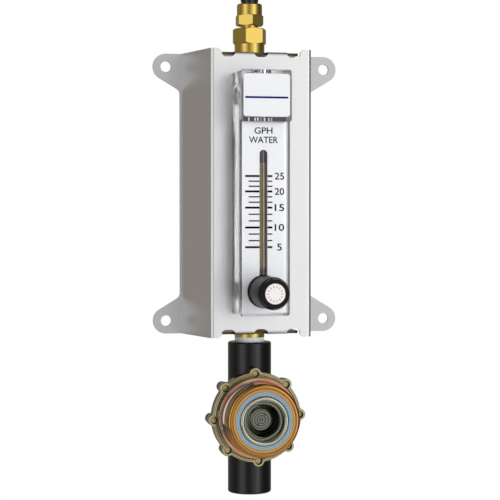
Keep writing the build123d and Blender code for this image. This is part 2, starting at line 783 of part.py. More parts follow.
# Regulator body: a straight pipe body with a round boss for the bonnet
boss_rear = boss_face - boss_flange
chamber_floor = boss_face - chamber_depth
inlet_axis = Plane((axis_x, waterway_offset - pipe_out, 0))
outflow_axis = Plane((axis_x, -waterway_offset - pipe_out, 0))
with BuildPart() as regulator_body:
    bar(pipe_axis, body_bottom, body_top, body_radius)
    fillet(regulator_body.edges().filter_by(GeomType.CIRCLE), body_edge)
    cone(regulator_axis, boss_rear - boss_neck, boss_rear, body_radius, boss_neck_radius)
    lobed_plate(boss_rear, boss_face, boss_flange_radius, boss_lobe_radius)
    bar(pipe_axis, body_top - pipe_port_depth, body_top, pipe_port_radius, Mode.SUBTRACT)
    bar(pipe_axis, body_bottom, body_bottom + pipe_port_depth, pipe_port_radius, Mode.SUBTRACT)
    bar(inlet_axis, body_bottom + pipe_port_depth, regulator_z, waterway_radius, Mode.SUBTRACT)
    bar(outflow_axis, regulator_z, body_top - pipe_port_depth, waterway_radius, Mode.SUBTRACT)
    bar(regulator_axis, chamber_floor, boss_face, chamber_radius, Mode.SUBTRACT)
    bar(regulator_axis, seat_rear, chamber_floor, seat_bore_radius, Mode.SUBTRACT)
    bar(regulator_axis, seat_rear - rear_cavity_depth, seat_rear, rear_cavity_radius, Mode.SUBTRACT)
    at_screws(boss_face - screw_length + lobe_cup_depth, boss_face, screw_radius + thread_play)
keep(regulator_body.part, "regulator_body")

with BuildPart() as valve_seat:
    bar(regulator_axis, seat_rear, seat_rear + seat_thickness, seat_bore_radius - thread_play)
    bar(regulator_axis, seat_rear - seat_lip, seat_rear, seat_orifice + seat_lip_width)
    bar(regulator_axis, seat_rear - seat_lip, seat_rear + seat_thickness, seat_orifice, Mode.SUBTRACT)
keep(valve_seat.part, "valve_seat")

poppet_front = seat_rear - seat_lip - poppet_gap
poppet_rear = poppet_front - poppet_thickness
cavity_rear = seat_rear - rear_cavity_depth
with BuildPart() as poppet:
    bar(regulator_axis, poppet_rear, poppet_front, poppet_radius)
    bar(regulator_axis, cavity_rear + poppet_tail_gap, poppet_rear, poppet_stem_radius)
    bar(regulator_axis, poppet_front, plate_front, poppet_stem_radius)
    bar(regulator_axis, boss_face - diaphragm_thickness, boss_face, seat_orifice - poppet_collar_play)
keep(poppet.part, "poppet")
coil_spring(
    "poppet_spring", regulator_axis, cavity_rear, poppet_rear,
    poppet_spring_radius, poppet_wire_radius, poppet_spring_turns,
)

with BuildPart() as diaphragm:
    lobed_plate(boss_face, bonnet_rear, boss_flange_radius, boss_lobe_radius)
    at_screws(boss_face, bonnet_rear, screw_radius + thread_play)
    bar(regulator_axis, boss_face, bonnet_rear, poppet_stem_radius + thread_play, Mode.SUBTRACT)
keep(diaphragm.part, "diaphragm")

with BuildPart() as diaphragm_plate:
    bar(regulator_axis, bonnet_rear, plate_front, diaphragm_plate_radius)
    bar(regulator_axis, bonnet_rear, plate_front, poppet_stem_radius + thread_play, Mode.SUBTRACT)
keep(diaphragm_plate.part, "diaphragm_plate")
coil_spring(
    "range_spring", regulator_axis, plate_front, washer_rear,
    range_spring_radius, range_wire_radius, range_spring_turns,
)

with BuildPart() as thrust_washer:
    bar(regulator_axis, washer_rear, adjuster_rear, thrust_washer_radius)
    bar(regulator_axis, washer_rear, adjuster_rear, thrust_washer_bore, Mode.SUBTRACT)
keep(thrust_washer.part, "thrust_washer")

# Adjuster: a threaded cup whose floor takes a two-pin spanner
disc_face = adjuster_rear + adjuster_floor
with BuildPart() as pressure_adjuster:
    bar(regulator_axis, adjuster_rear, adjuster_front, neck_bore_radius - adjuster_play)
    cone(
        regulator_axis, disc_face, adjuster_front,
        adjuster_disc_radius, adjuster_mouth_radius, Mode.SUBTRACT,
    )
    with Locations(regulator_axis.offset(disc_face - adjuster_floor / 2)):
        with PolarLocations(spanner_hole_ring_radius, 2, start_angle=spanner_hole_turn):
            Cylinder(spanner_hole_radius, adjuster_floor, align=on_base, mode=Mode.SUBTRACT)
keep(pressure_adjuster.part, "pressure_adjuster")

# Bonnet: flange with screw lobes, two drums and a threaded neck at its front
drum_inside = upper_drum_radius - bonnet_wall
neck_rear = bonnet_front - neck_depth
front_inside = bonnet_front - bonnet_wall
with BuildPart() as bonnet:
    lobed_plate(bonnet_rear, flange_front, bonnet_rim_radius, lobe_radius)
    rim_edges = bonnet.edges().filter_by_position(Axis.Y, -flange_front - near, -flange_front + near)
    fillet(rim_edges, bonnet_rim_edge)
    with BuildSketch(Plane((axis_x, 0, regulator_z))):
        with BuildLine() as drum_line:
            Polyline(
                (0, -bonnet_rear),
                (lower_drum_radius, -bonnet_rear),
                (lower_drum_radius, -step_out),
                (upper_drum_radius, -step_out),
                (upper_drum_radius, -bonnet_front),
                (0, -bonnet_front),
                close=True,
            )
            corners = drum_line.vertices().sort_by(Axis.Y)
            fillet(corners[:2].sort_by(Axis.X)[-1:], bonnet_corner)
            steps = drum_line.vertices().filter_by(
                lambda v: abs(v.X - axis_x - lower_drum_radius) < near and abs(v.Y + step_out) < near
            )
            fillet(steps, step_corner)
        make_face()
    revolve(axis=Axis((axis_x, 0, regulator_z), (0, 1, 0)))
    with Locations(regulator_axis.offset(flange_front)):
        Torus(bead_radius, bead_size)
    with Locations(regulator_axis.offset(bonnet_front)):
        Torus(neck_lip_radius, neck_lip_size)
        Torus(groove_radius, groove_size, mode=Mode.SUBTRACT)
    at_screws(flange_front - lobe_cup_depth, flange_front + bead_size, lobe_cup_radius)
    at_screws(bonnet_rear, flange_front, screw_radius + thread_play)
    with BuildSketch(regulator_axis.offset(bonnet_rear)):
        Circle(drum_inside)
    extrude(amount=neck_rear - bonnet_rear, mode=Mode.SUBTRACT)
    with BuildSketch(regulator_axis.offset(neck_rear)):
        Circle(drum_inside)
        Circle(neck_bore_radius + neck_wall, mode=Mode.SUBTRACT)
    extrude(amount=front_inside - neck_rear, mode=Mode.SUBTRACT)
    bar(regulator_axis, neck_rear, bonnet_front + neck_lip_size, neck_bore_radius, Mode.SUBTRACT)
keep(bonnet.part, "bonnet")

with BuildPart() as ring_label:
    with BuildSketch(regulator_axis.offset(bonnet_front)):
        Circle(ring_label_outer)
        Circle(ring_label_inner, mode=Mode.SUBTRACT)
    extrude(amount=ring_label_thickness)
keep(ring_label.part, "ring_label")

cup_floor = flange_front - lobe_cup_depth
with BuildPart() as flange_screws:
    at_screws(cup_floor - screw_length, cup_floor, screw_radius, Mode.ADD)
    at_screws(cup_floor, cup_floor + screw_head, screw_head_radius, Mode.ADD)
keep(flange_screws.part, "flange_screws")

os.makedirs("parts", exist_ok=True)
for piece in finished:
    export_step(piece, f"parts/{piece.label}.step")
print(f"{len(finished)} pieces, float travel {float_travel:.2f}, valve travel {valve_travel:.3f}")
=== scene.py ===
# %% [markdown]
# # A wall-hung flow meter panel
# The real object is a folded stainless bracket that carries a clear acrylic flow meter. Brass fittings stand above
# and below it, and a pressure regulator with a yellow passivated bonnet hangs at the bottom. Every part already has
# its true size in the frame, so this lesson is about surfaces: metal that shows its grain, clear plastic, printed
# scales, and the small repeated things that a reader's eye looks for.
#
# The first step loads the frame. Nothing in it is moved or resized.

# %% Load the frame
import bmesh
import bpy
import json
import math
from mathutils import Matrix, Vector

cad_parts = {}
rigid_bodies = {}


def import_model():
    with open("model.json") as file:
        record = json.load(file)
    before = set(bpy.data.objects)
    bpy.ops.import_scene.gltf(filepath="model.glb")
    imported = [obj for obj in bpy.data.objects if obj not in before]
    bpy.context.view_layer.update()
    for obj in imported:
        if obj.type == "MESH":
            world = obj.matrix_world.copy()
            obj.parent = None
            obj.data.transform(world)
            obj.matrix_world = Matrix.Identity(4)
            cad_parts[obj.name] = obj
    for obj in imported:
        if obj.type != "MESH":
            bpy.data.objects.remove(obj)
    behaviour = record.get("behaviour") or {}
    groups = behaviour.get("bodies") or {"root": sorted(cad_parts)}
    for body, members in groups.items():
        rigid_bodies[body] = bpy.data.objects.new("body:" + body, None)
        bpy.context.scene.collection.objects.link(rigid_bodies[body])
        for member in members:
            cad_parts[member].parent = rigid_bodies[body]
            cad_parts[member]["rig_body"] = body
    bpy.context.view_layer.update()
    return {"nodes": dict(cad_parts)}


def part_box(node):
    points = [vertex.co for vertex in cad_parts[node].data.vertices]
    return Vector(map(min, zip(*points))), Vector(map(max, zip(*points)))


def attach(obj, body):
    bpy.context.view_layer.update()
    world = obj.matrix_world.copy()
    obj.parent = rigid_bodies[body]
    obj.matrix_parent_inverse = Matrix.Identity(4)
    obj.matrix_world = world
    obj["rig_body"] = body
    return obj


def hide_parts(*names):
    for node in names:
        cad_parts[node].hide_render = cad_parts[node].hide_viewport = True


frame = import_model()

# %% [markdown]
# ## Places to build from
# The pieces made here sit on the frame's own parts. Their places are read from the boxes of the parts that carry
# them, so a change of size in the frame carries through. Lengths below are in metres, written as millimetres times
# MM. "Out" is the distance from the wall towards the reader, which is the negative Y direction.

# %% Places read from the frame
MM = 0.001


def middle(node):
    """Centre of a part's box."""
    low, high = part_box(node)
    return (low + high) / 2


def half_width(node):
    """Half of a part's size from left to right."""
    low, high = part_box(node)
    return (high.x - low.x) / 2


def out_of(node):
    """How far from the wall a part begins and ends."""
    low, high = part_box(node)
    return -high.y, -low.y


AXIS_X = middle("metering_tube").x
KNOB = middle("knob")
REGULATOR = middle("bonnet")
SCALE_FACE = out_of("scale_plate")[1]
LABEL_FACE = out_of("header_label")[1]
print("meter axis at x", round(AXIS_X / MM, 2), "scale face", round(SCALE_FACE / MM, 2), "mm out from the wall")

# %% [markdown]
# ## Small tools for nodes
# Materials and Geometry Nodes are both node trees, so one short function adds a node, sets its options and fills its
# inputs. A link is then a line of its own, which reads like a wiring list.


# %% Node helpers
def add(tree, kind, inputs=None, **options):
    """Adds a node; options are its properties and inputs its socket values, by name or number."""
    node = tree.nodes.new(kind)
    for option, value in options.items():
        setattr(node, option, value)
    for socket, value in (inputs or {}).items():
        node.inputs[socket].default_value = value
    return node


def wire(tree, *pairs):
    """Links pairs of sockets, each pair an output and an input."""
    for output, socket in pairs:
        tree.links.new(output, socket)


def ramp(tree, stops):
    """A colour ramp with the given places and colours."""
    node = add(tree, "ShaderNodeValToRGB")
    band = node.color_ramp
    band.elements[0].position, band.elements[0].color = stops[0][0], (*stops[0][1], 1)
    band.elements[1].position, band.elements[1].color = stops[-1][0], (*stops[-1][1], 1)
    for position, colour in stops[1:-1]:
        band.elements.new(position).color = (*colour, 1)
    return node


def new_group(name, kind, sockets_in, sockets_out):
    """A node group with named sockets; each input is a name, a socket type and a default."""
    tree = bpy.data.node_groups.new(name, kind)
    for label, socket_type, default in sockets_in:
        socket = tree.interface.new_socket(label, in_out="INPUT", socket_type=socket_type)
        if default is not None:
            socket.default_value = default
    for label, socket_type in sockets_out:
        tree.interface.new_socket(label, in_out="OUTPUT", socket_type=socket_type)
    return tree, tree.nodes.new("NodeGroupInput"), tree.nodes.new("NodeGroupOutput")


# %% [markdown]
# ## One grain for every surface
# Brushed steel, turned brass, moulded plastic and printed card differ mostly in the scale and direction of their
# grain. One shader group makes that grain from noise that is stretched along one direction. It gives a tone between
# 0 and 1, for colour and roughness, and a bumped normal. Each material places the group with its own stretch and
# depth. A second group does the same in rings about an axis, for faces that were turned on a lathe.


# %% Grain and ring groups
def build_grain_group():
    tree, ins, outs = new_group(
        "stretched grain", "ShaderNodeTree",
        [("Stretch", "NodeSocketVector", (1, 1, 1)), ("Depth", "NodeSocketFloat", 0.00002)],
        [("Tone", "NodeSocketFloat"), ("Normal", "NodeSocketVector")],
    )
    place = add(tree, "ShaderNodeTexCoord")
    scale = add(tree, "ShaderNodeVectorMath", operation="MULTIPLY")
    noise = add(tree, "ShaderNodeTexNoise", {"Scale": 1.0, "Detail": 3.0, "Roughness": 0.6})
    tone = add(tree, "ShaderNodeClamp")
    bump = add(tree, "ShaderNodeBump", {"Strength": 1.0})
    wire(
        tree,
        (place.outputs["Object"], scale.inputs[0]), (ins.outputs["Stretch"], scale.inputs[1]),
        (scale.outputs[0], noise.inputs["Vector"]), (noise.outputs["Fac"], tone.inputs["Value"]),
        (tone.outputs[0], outs.inputs["Tone"]), (tone.outputs[0], bump.inputs["Height"]),
        (ins.outputs["Depth"], bump.inputs["Distance"]), (bump.outputs["Normal"], outs.inputs["Normal"]),
    )
    return tree


def build_ring_group():
    tree, ins, outs = new_group(
        "turned rings", "ShaderNodeTree",
        [("Centre", "NodeSocketVector", (0, 0, 0)), ("Spacing", "NodeSocketFloat", 0.001),
         ("Wander", "NodeSocketFloat", 0.3), ("Depth", "NodeSocketFloat", 0.00002)],
        [("Tone", "NodeSocketFloat"), ("Radius", "NodeSocketFloat"), ("Normal", "NodeSocketVector")],
    )
    place = add(tree, "ShaderNodeTexCoord")
    shift = add(tree, "ShaderNodeVectorMath", operation="SUBTRACT")
    flatten = add(tree, "ShaderNodeVectorMath", {1: (1, 0, 1)}, operation="MULTIPLY")
    length = add(tree, "ShaderNodeVectorMath", operation="LENGTH")
    noise = add(tree, "ShaderNodeTexNoise", {"Scale": 60.0, "Detail": 1.0})
    sway = add(tree, "ShaderNodeMath", operation="MULTIPLY")
    turns = add(tree, "ShaderNodeMath", operation="DIVIDE")
    total = add(tree, "ShaderNodeMath", operation="ADD")
    angle = add(tree, "ShaderNodeMath", {1: 2 * math.pi}, operation="MULTIPLY")
    wave = add(tree, "ShaderNodeMath", operation="SINE")
    tone = add(tree, "ShaderNodeMapRange", {"From Min": -1.0, "From Max": 1.0})
    bump = add(tree, "ShaderNodeBump", {"Strength": 1.0})
    wire(
        tree,
        (place.outputs["Object"], shift.inputs[0]), (ins.outputs["Centre"], shift.inputs[1]),
        (shift.outputs[0], flatten.inputs[0]), (flatten.outputs[0], length.inputs[0]),
        (length.outputs["Value"], turns.inputs[0]), (ins.outputs["Spacing"], turns.inputs[1]),
        (place.outputs["Object"], noise.inputs["Vector"]), (noise.outputs["Fac"], sway.inputs[0]),
        (ins.outputs["Wander"], sway.inputs[1]), (turns.outputs[0], total.inputs[0]),
        (sway.outputs[0], total.inputs[1]), (total.outputs[0], angle.inputs[0]),
        (angle.outputs[0], wave.inputs[0]), (wave.outputs[0], tone.inputs["Value"]),
        (tone.outputs["Result"], outs.inputs["Tone"]), (length.outputs["Value"], outs.inputs["Radius"]),
        (tone.outputs["Result"], bump.inputs["Height"]), (ins.outputs["Depth"], bump.inputs["Distance"]),
        (bump.outputs["Normal"], outs.inputs["Normal"]),
    )
    return tree


GRAIN = build_grain_group()
RINGS = build_ring_group()
print("shader groups", GRAIN.name, "and", RINGS.name)

# %% [markdown]
# ## Materials that share the grain
# Most finishes are now one call each: a dark and a light tone of the same colour, the stretch of the grain, its
# depth, and the range of roughness. What is the same all over a surface, such as how metallic it is, goes straight
# onto the shader's own sockets.


# %% Grained materials
def shader_of(name, settings):
    """A new material with its shader's constant sockets set."""
    made = bpy.data.materials.new(name)
    made.use_nodes = True
    shader = made.node_tree.nodes["Principled BSDF"]
    for socket, value in settings.items():
        shader.inputs[socket].default_value = value
    return made, made.node_tree, shader


def toned(name, group, sockets, dark, light, rough, settings):
    """A material whose colour, roughness and bump follow the tone of a group."""
    made, tree, shader = shader_of(name, {key.replace("_", " "): value for key, value in settings.items()})
    grain = add(tree, "ShaderNodeGroup", node_tree=group)
    for socket, value in sockets.items():
        grain.inputs[socket].default_value = value
    colour = add(tree, "ShaderNodeMix", {6: (*dark, 1), 7: (*light, 1)}, data_type="RGBA")
    roughness = add(tree, "ShaderNodeMapRange", {"To Min": rough[0], "To Max": rough[1]})
    wire(
        tree,
        (grain.outputs["Tone"], colour.inputs[0]), (colour.outputs[2], shader.inputs["Base Color"]),
        (grain.outputs["Tone"], roughness.inputs["Value"]),
        (roughness.outputs["Result"], shader.inputs["Roughness"]),
        (grain.outputs["Normal"], shader.inputs["Normal"]),
    )
    return made


def grained(name, dark, light, stretch, depth, rough, **settings):
    """A material whose surface follows the stretched grain."""
    return toned(name, GRAIN, {"Stretch": stretch, "Depth": depth}, dark, light, rough, settings)


def ringed(name, dark, light, spacing, depth, wander, rough, **settings):
    """A material whose surface follows rings about the regulator's axis."""
    sockets = {"Centre": REGULATOR, "Spacing": spacing, "Depth": depth, "Wander": wander}
    return toned(name, RINGS, sockets, dark, light, rough, settings)


UPRIGHT = (2200, 2200, 60)
ROUND_PIPE = (900, 900, 6000)
FINE = (3000, 3000, 3000)
COARSE = (700, 700, 700)

white_plate = grained(
    "printed white plate", (0.86, 0.87, 0.90), (0.90, 0.91, 0.935), FINE, 0.000003, (0.30, 0.42)
)
rubber = grained("black rubber", (0.012, 0.012, 0.013), (0.03, 0.03, 0.032), FINE, 0.00002, (0.55, 0.75))
steel = grained(
    "turned steel", (0.38, 0.38, 0.40), (0.56, 0.56, 0.58), ROUND_PIPE, 0.000006, (0.22, 0.36), Metallic=1.0
)
grey_plastic = grained("grey plastic", (0.10, 0.10, 0.11), (0.17, 0.17, 0.18), FINE, 0.00001, (0.35, 0.5))
brass = grained(
    "turned brass", (0.56, 0.39, 0.08), (0.74, 0.55, 0.14), ROUND_PIPE, 0.000005, (0.22, 0.34), Metallic=1.0
)
black_plastic = grained(
    "satin black plastic", (0.0015, 0.0015, 0.002), (0.004, 0.004, 0.0045), FINE, 0.000002, (0.19, 0.25),
    Specular_IOR_Level=0.42
)
knob_black = grained(
    "matt black plastic", (0.0015, 0.0015, 0.002), (0.004, 0.004, 0.0045), FINE, 0.000004, (0.16, 0.26),
    Specular_IOR_Level=0.16
)
gloss_black = grained(
    "glossy black plastic", (0.006, 0.006, 0.007), (0.014, 0.014, 0.015), COARSE, 0.000004, (0.12, 0.2)
)
cap_white = grained("white cap", (0.84, 0.83, 0.82), (0.90, 0.895, 0.89), FINE, 0.000004, (0.25, 0.38))
spring_steel = grained(
    "spring steel", (0.30, 0.30, 0.33), (0.48, 0.48, 0.50), FINE, 0.000003, (0.25, 0.4), Metallic=1.0
)
tape_white = grained("thread tape", (0.80, 0.80, 0.82), (0.90, 0.90, 0.92), ROUND_PIPE, 0.00004, (0.45, 0.6))
print("materials so far", len(bpy.data.materials))

# %% [markdown]
# ## Stainless sheet
# The bracket's sheet is brushed on its outer faces. Painted shade makes it greyer on the flanges that lie on the wall,
# and fills the notches in its folded edges with a dark olive. Both are told by place: how far out from the wall, how
# near to the top or bottom edge, and how far from the middle of the nearest notch.


# %% Stainless steel
# The flanges that lie on the wall get painted shade: their colour is scaled down there.
FLANGE_NEAR, FLANGE_FAR, FLANGE_SHADE_SHARE = 2.1 * MM, 3.2 * MM, 0.65
NOTCH_PITCH, NOTCH_HALF = 25.2 * MM, 5.15 * MM
NOTCH_IN, NOTCH_OUT, NOTCH_HEIGHT = 47.8 * MM, 54.9 * MM, 101.0 * MM
# Dark olive painted shade for the inside of the notches.
NOTCH_SHADE = (0.085, 0.072, 0.038)


def stain_sheet(material):
    """Paints shade onto a material: greyer on the wall flanges and dark olive inside the notches."""
    tree = material.node_tree
    shader = tree.nodes["Principled BSDF"]
    plain = shader.inputs["Base Color"].links[0].from_socket
    place = add(tree, "ShaderNodeTexCoord")
    parts = add(tree, "ShaderNodeSeparateXYZ")
    level = add(tree, "ShaderNodeMapRange", {"From Min": -FLANGE_FAR, "From Max": -FLANGE_NEAR, "To Min": 1.0,
                                             "To Max": FLANGE_SHADE_SHARE})
    height = add(tree, "ShaderNodeMath", operation="ABSOLUTE")
    beside = add(tree, "ShaderNodeMath", {1: NOTCH_PITCH / 2}, operation="PINGPONG")
    # Painted shade: this scale dims the colour on the wall flanges.
    dull = add(tree, "ShaderNodeVectorMath", operation="SCALE")
    # Painted shade: inside the notches the colour is swapped for a dark olive.
    shade_painted = add(tree, "ShaderNodeMix", {7: (*NOTCH_SHADE, 1)}, data_type="RGBA")
    tests = []
    for socket, operation, limit in (
        (height.outputs[0], "GREATER_THAN", NOTCH_HEIGHT), (parts.outputs["Y"], "LESS_THAN", -NOTCH_IN),
        (parts.outputs["Y"], "GREATER_THAN", -NOTCH_OUT), (beside.outputs[0], "LESS_THAN", NOTCH_HALF),
    ):
        tests.append(add(tree, "ShaderNodeMath", {1: limit}, operation=operation))
        wire(tree, (socket, tests[-1].inputs[0]))
    in_notch = tests[0]
    for test in tests[1:]:
        both = add(tree, "ShaderNodeMath", operation="MULTIPLY")
        wire(tree, (in_notch.outputs[0], both.inputs[0]), (test.outputs[0], both.inputs[1]))
        in_notch = both
    wire(
        tree,
        (place.outputs["Object"], parts.inputs[0]), (parts.outputs["Y"], level.inputs["Value"]),
        (parts.outputs["X"], beside.inputs[0]), (parts.outputs["Z"], height.inputs[0]),
        (level.outputs["Result"], dull.inputs["Scale"]), (plain, dull.inputs[0]),
        (dull.outputs[0], shade_painted.inputs[6]), (in_notch.outputs[0], shade_painted.inputs[0]),
        (shade_painted.outputs[2], shader.inputs["Base Color"]),
    )


stainless = grained(
    "brushed stainless", (0.76, 0.76, 0.762), (0.82, 0.82, 0.82), UPRIGHT, 0.0000015, (0.32, 0.40), Metallic=1.0
)
stain_sheet(stainless)
print("stained sheet", stainless.name)

# %% [markdown]
# ## Clear plastic
# Clear acrylic is glass to the renderer, with a lower index. Its shadow would be almost black, because light that
# bends through it can't be followed back to the lamps, so a shadow ray sees a transparent surface instead. The block
# is polished on its face, while its sawn sides are only rubbed down, which blurs what lies behind them. The sides'
# tint is also darkened, as painted shade.


# %% Clear materials
SIDE_SHADE_TINT = 0.68


def clear(name, colour, index, polished, rubbed, side_at):
    """Clear plastic, polished on its face and rubbed on its sides, with a darker tint there as painted shade, that
    lets lamp light through in its shadow.
    """
    made, tree, shader = shader_of(
        name, {"Base Color": (*colour, 1), "Transmission Weight": 1.0, "IOR": index}
    )
    place = add(tree, "ShaderNodeTexCoord")
    parts = add(tree, "ShaderNodeSeparateXYZ")
    offset = add(tree, "ShaderNodeMath", {1: AXIS_X}, operation="SUBTRACT")
    reach = add(tree, "ShaderNodeMath", operation="ABSOLUTE")
    zone = {"From Min": side_at - 0.5 * MM, "From Max": side_at - 0.1 * MM}
    haze = add(tree, "ShaderNodeMapRange", {**zone, "To Min": polished, "To Max": rubbed})
    side = add(tree, "ShaderNodeMapRange", zone)
    # Painted shade: the side faces get a darker tint.
    side_shade = [SIDE_SHADE_TINT * part for part in colour]
    tint = add(tree, "ShaderNodeMix", {6: (*colour, 1), 7: (*side_shade, 1)}, data_type="RGBA")
    path = add(tree, "ShaderNodeLightPath")
    lamp_way = add(tree, "ShaderNodeBsdfTransparent", {"Color": (*(0.5 + 0.5 * part for part in colour), 1)})
    mix = add(tree, "ShaderNodeMixShader")
    surface = tree.nodes["Material Output"].inputs["Surface"]
    wire(
        tree,
        (reach.outputs[0], side.inputs["Value"]), (side.outputs["Result"], tint.inputs[0]),
        (tint.outputs[2], shader.inputs["Base Color"]),
        (place.outputs["Object"], parts.inputs[0]), (parts.outputs["X"], offset.inputs[0]),
        (offset.outputs[0], reach.inputs[0]), (reach.outputs[0], haze.inputs["Value"]),
        (haze.outputs["Result"], shader.inputs["Roughness"]),
        (path.outputs["Is Shadow Ray"], mix.inputs[0]), (shader.outputs[0], mix.inputs[1]),
        (lamp_way.outputs[0], mix.inputs[2]), (mix.outputs[0], surface),
    )
    return made


acrylic = clear("clear acrylic", (0.93, 0.935, 0.95), 1.49, 0.008, 0.34, half_width("meter_body"))

# %% [markdown]
# ## The column
# The metering way is a tinted tube in a bore. Its walls bend the light into upright bands of gold, brown and cream,
# which stay where they are along its whole length. These bands are painted light: four plain tones are laid out across
# the tube by the distance from its axis, with a little noise so that no band is ruled; the cream band is a painted
# reflection and the dark brown one painted shade. The tube's foot and the stop above it carry painted highlight and
# shade in bands of grey.


# %% Banded column
BAND_REACH, BAND_SWAY = 4.0 * MM, 0.35 * MM


def banded(name, stops, foot=None, foot_z=0.0):
    """Glossy plastic with painted light: upright bands of colour across the tube stand for the light its walls bend,
    with other bands below a height.
    """
    made, tree, shader = shader_of(name, {"Roughness": 0.25, "Specular IOR Level": 0.3})
    place = add(tree, "ShaderNodeTexCoord")
    parts = add(tree, "ShaderNodeSeparateXYZ")
    long = add(tree, "ShaderNodeVectorMath", {1: (300, 300, 40)}, operation="MULTIPLY")
    noise = add(tree, "ShaderNodeTexNoise", {"Scale": 1.0, "Detail": 2.0})
    sway = add(tree, "ShaderNodeMapRange", {"To Min": -BAND_SWAY, "To Max": BAND_SWAY})
    total = add(tree, "ShaderNodeMath", operation="ADD")
    across = add(tree, "ShaderNodeMapRange", {"From Min": AXIS_X - BAND_REACH, "From Max": AXIS_X + BAND_REACH})
    bands = ramp(tree, stops)
    wire(
        tree,
        (place.outputs["Object"], parts.inputs[0]), (place.outputs["Object"], long.inputs[0]),
        (long.outputs[0], noise.inputs["Vector"]), (noise.outputs["Fac"], sway.inputs["Value"]),
        (parts.outputs["X"], total.inputs[0]), (sway.outputs["Result"], total.inputs[1]),
        (total.outputs[0], across.inputs["Value"]), (across.outputs["Result"], bands.inputs["Fac"]),
        (bands.outputs["Color"], shader.inputs["Base Color"]),
    )
    if foot:
        level = add(tree, "ShaderNodeMapRange", {"From Min": foot_z - MM, "From Max": foot_z + MM})
        low = ramp(tree, foot)
        mix = add(tree, "ShaderNodeMix", data_type="RGBA")
        wire(
            tree,
            (parts.outputs["Z"], level.inputs["Value"]), (across.outputs["Result"], low.inputs["Fac"]),
            (level.outputs["Result"], mix.inputs[0]), (low.outputs["Color"], mix.inputs[6]),
            (bands.outputs["Color"], mix.inputs[7]), (mix.outputs[2], shader.inputs["Base Color"]),
        )
    return made


# Painted light: gold and brown stand for light bent through the amber, the cream band is a painted reflection and the
# dark brown one painted shade; among the greys the light one is a painted highlight and the dark one painted shade.
GOLD, BROWN, BROWN_SHADE, CREAM_REFLECTION = (0.28, 0.20, 0.07), (0.10, 0.07, 0.02), (0.05, 0.03, 0.01), (0.55, 0.50, 0.35)
GREY, GREY_SHADE, GREY_HIGHLIGHT = (0.05, 0.05, 0.05), (0.01, 0.01, 0.01), (0.30, 0.30, 0.30)
PAINTED_GOLD_BANDS = [
    (0.00, GOLD), (0.37, GOLD), (0.43, BROWN_SHADE), (0.50, BROWN_SHADE), (0.60, CREAM_REFLECTION), (0.66, CREAM_REFLECTION), (0.74, BROWN),
    (0.86, BROWN), (0.92, GOLD), (1.00, GOLD),
]
PAINTED_GREY_BANDS = [
    (0.00, GREY), (0.36, GREY), (0.44, GREY_SHADE), (0.53, GREY_SHADE), (0.60, GREY_HIGHLIGHT), (0.70, GREY_SHADE),
    (1.00, GREY),
]
FLOAT_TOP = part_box("flow_float")[1].z
amber = banded("amber tube", PAINTED_GOLD_BANDS, PAINTED_GREY_BANDS, FLOAT_TOP)
stop_grey = banded("grey stop", PAINTED_GREY_BANDS)
print("clear and banded materials", acrylic.name, amber.name, stop_grey.name)

# %% [markdown]
# ## Yellow passivated zinc
# The bonnet's finish is a thin film on zinc. It goes from olive and cream on the flange through pink and blue on the
# drum's side to copper and orange on its front, because the film's thickness differs with how the part hung in the
# bath. The colour is therefore laid out by place: one ramp follows the distance out from the wall, one follows the
# radius on the front face, and noise lets the zones run into each other. A few bands on the side are painted highlight
# and painted shade rather than film, and ambient occlusion paints shade into the creases.


# %% Passivated zinc
FLANGE_OUT, FRONT_OUT = 48.0 * MM, out_of("ring_label")[0]
FRONT_RADIUS = 27.5 * MM
CREASE_REACH = 2.2 * MM
# Most side stops are the film's own colours, but the lighter stops at 0.22 and 0.28 and the pale one at 0.37 are
# painted highlights, and the dark stop at 0.33 between them is painted shade.
SIDE_STOPS = [
    (0.00, (0.16, 0.12, 0.05)), (0.12, (0.24, 0.18, 0.07)), (0.22, (0.42, 0.36, 0.18)), (0.28, (0.48, 0.42, 0.25)),
    (0.33, (0.20, 0.16, 0.09)), (0.37, (0.66, 0.62, 0.56)), (0.41, (0.60, 0.24, 0.11)), (0.45, (0.46, 0.44, 0.36)),
    (0.56, (0.52, 0.45, 0.44)), (0.68, (0.50, 0.44, 0.34)), (0.78, (0.58, 0.36, 0.17)), (0.88, (0.60, 0.50, 0.26)),
    (0.94, (0.46, 0.20, 0.05)), (1.00, (0.50, 0.24, 0.07)),
]
FACE_STOPS = [
    (0.00, (0.12, 0.11, 0.13)), (0.48, (0.20, 0.19, 0.21)), (0.53, (0.42, 0.46, 0.36)),
    (0.60, (0.50, 0.52, 0.42)), (0.72, (0.44, 0.28, 0.10)), (0.79, (0.46, 0.21, 0.055)),
    (0.86, (0.50, 0.30, 0.09)), (0.93, (0.44, 0.19, 0.05)), (1.00, (0.52, 0.30, 0.11)),
]


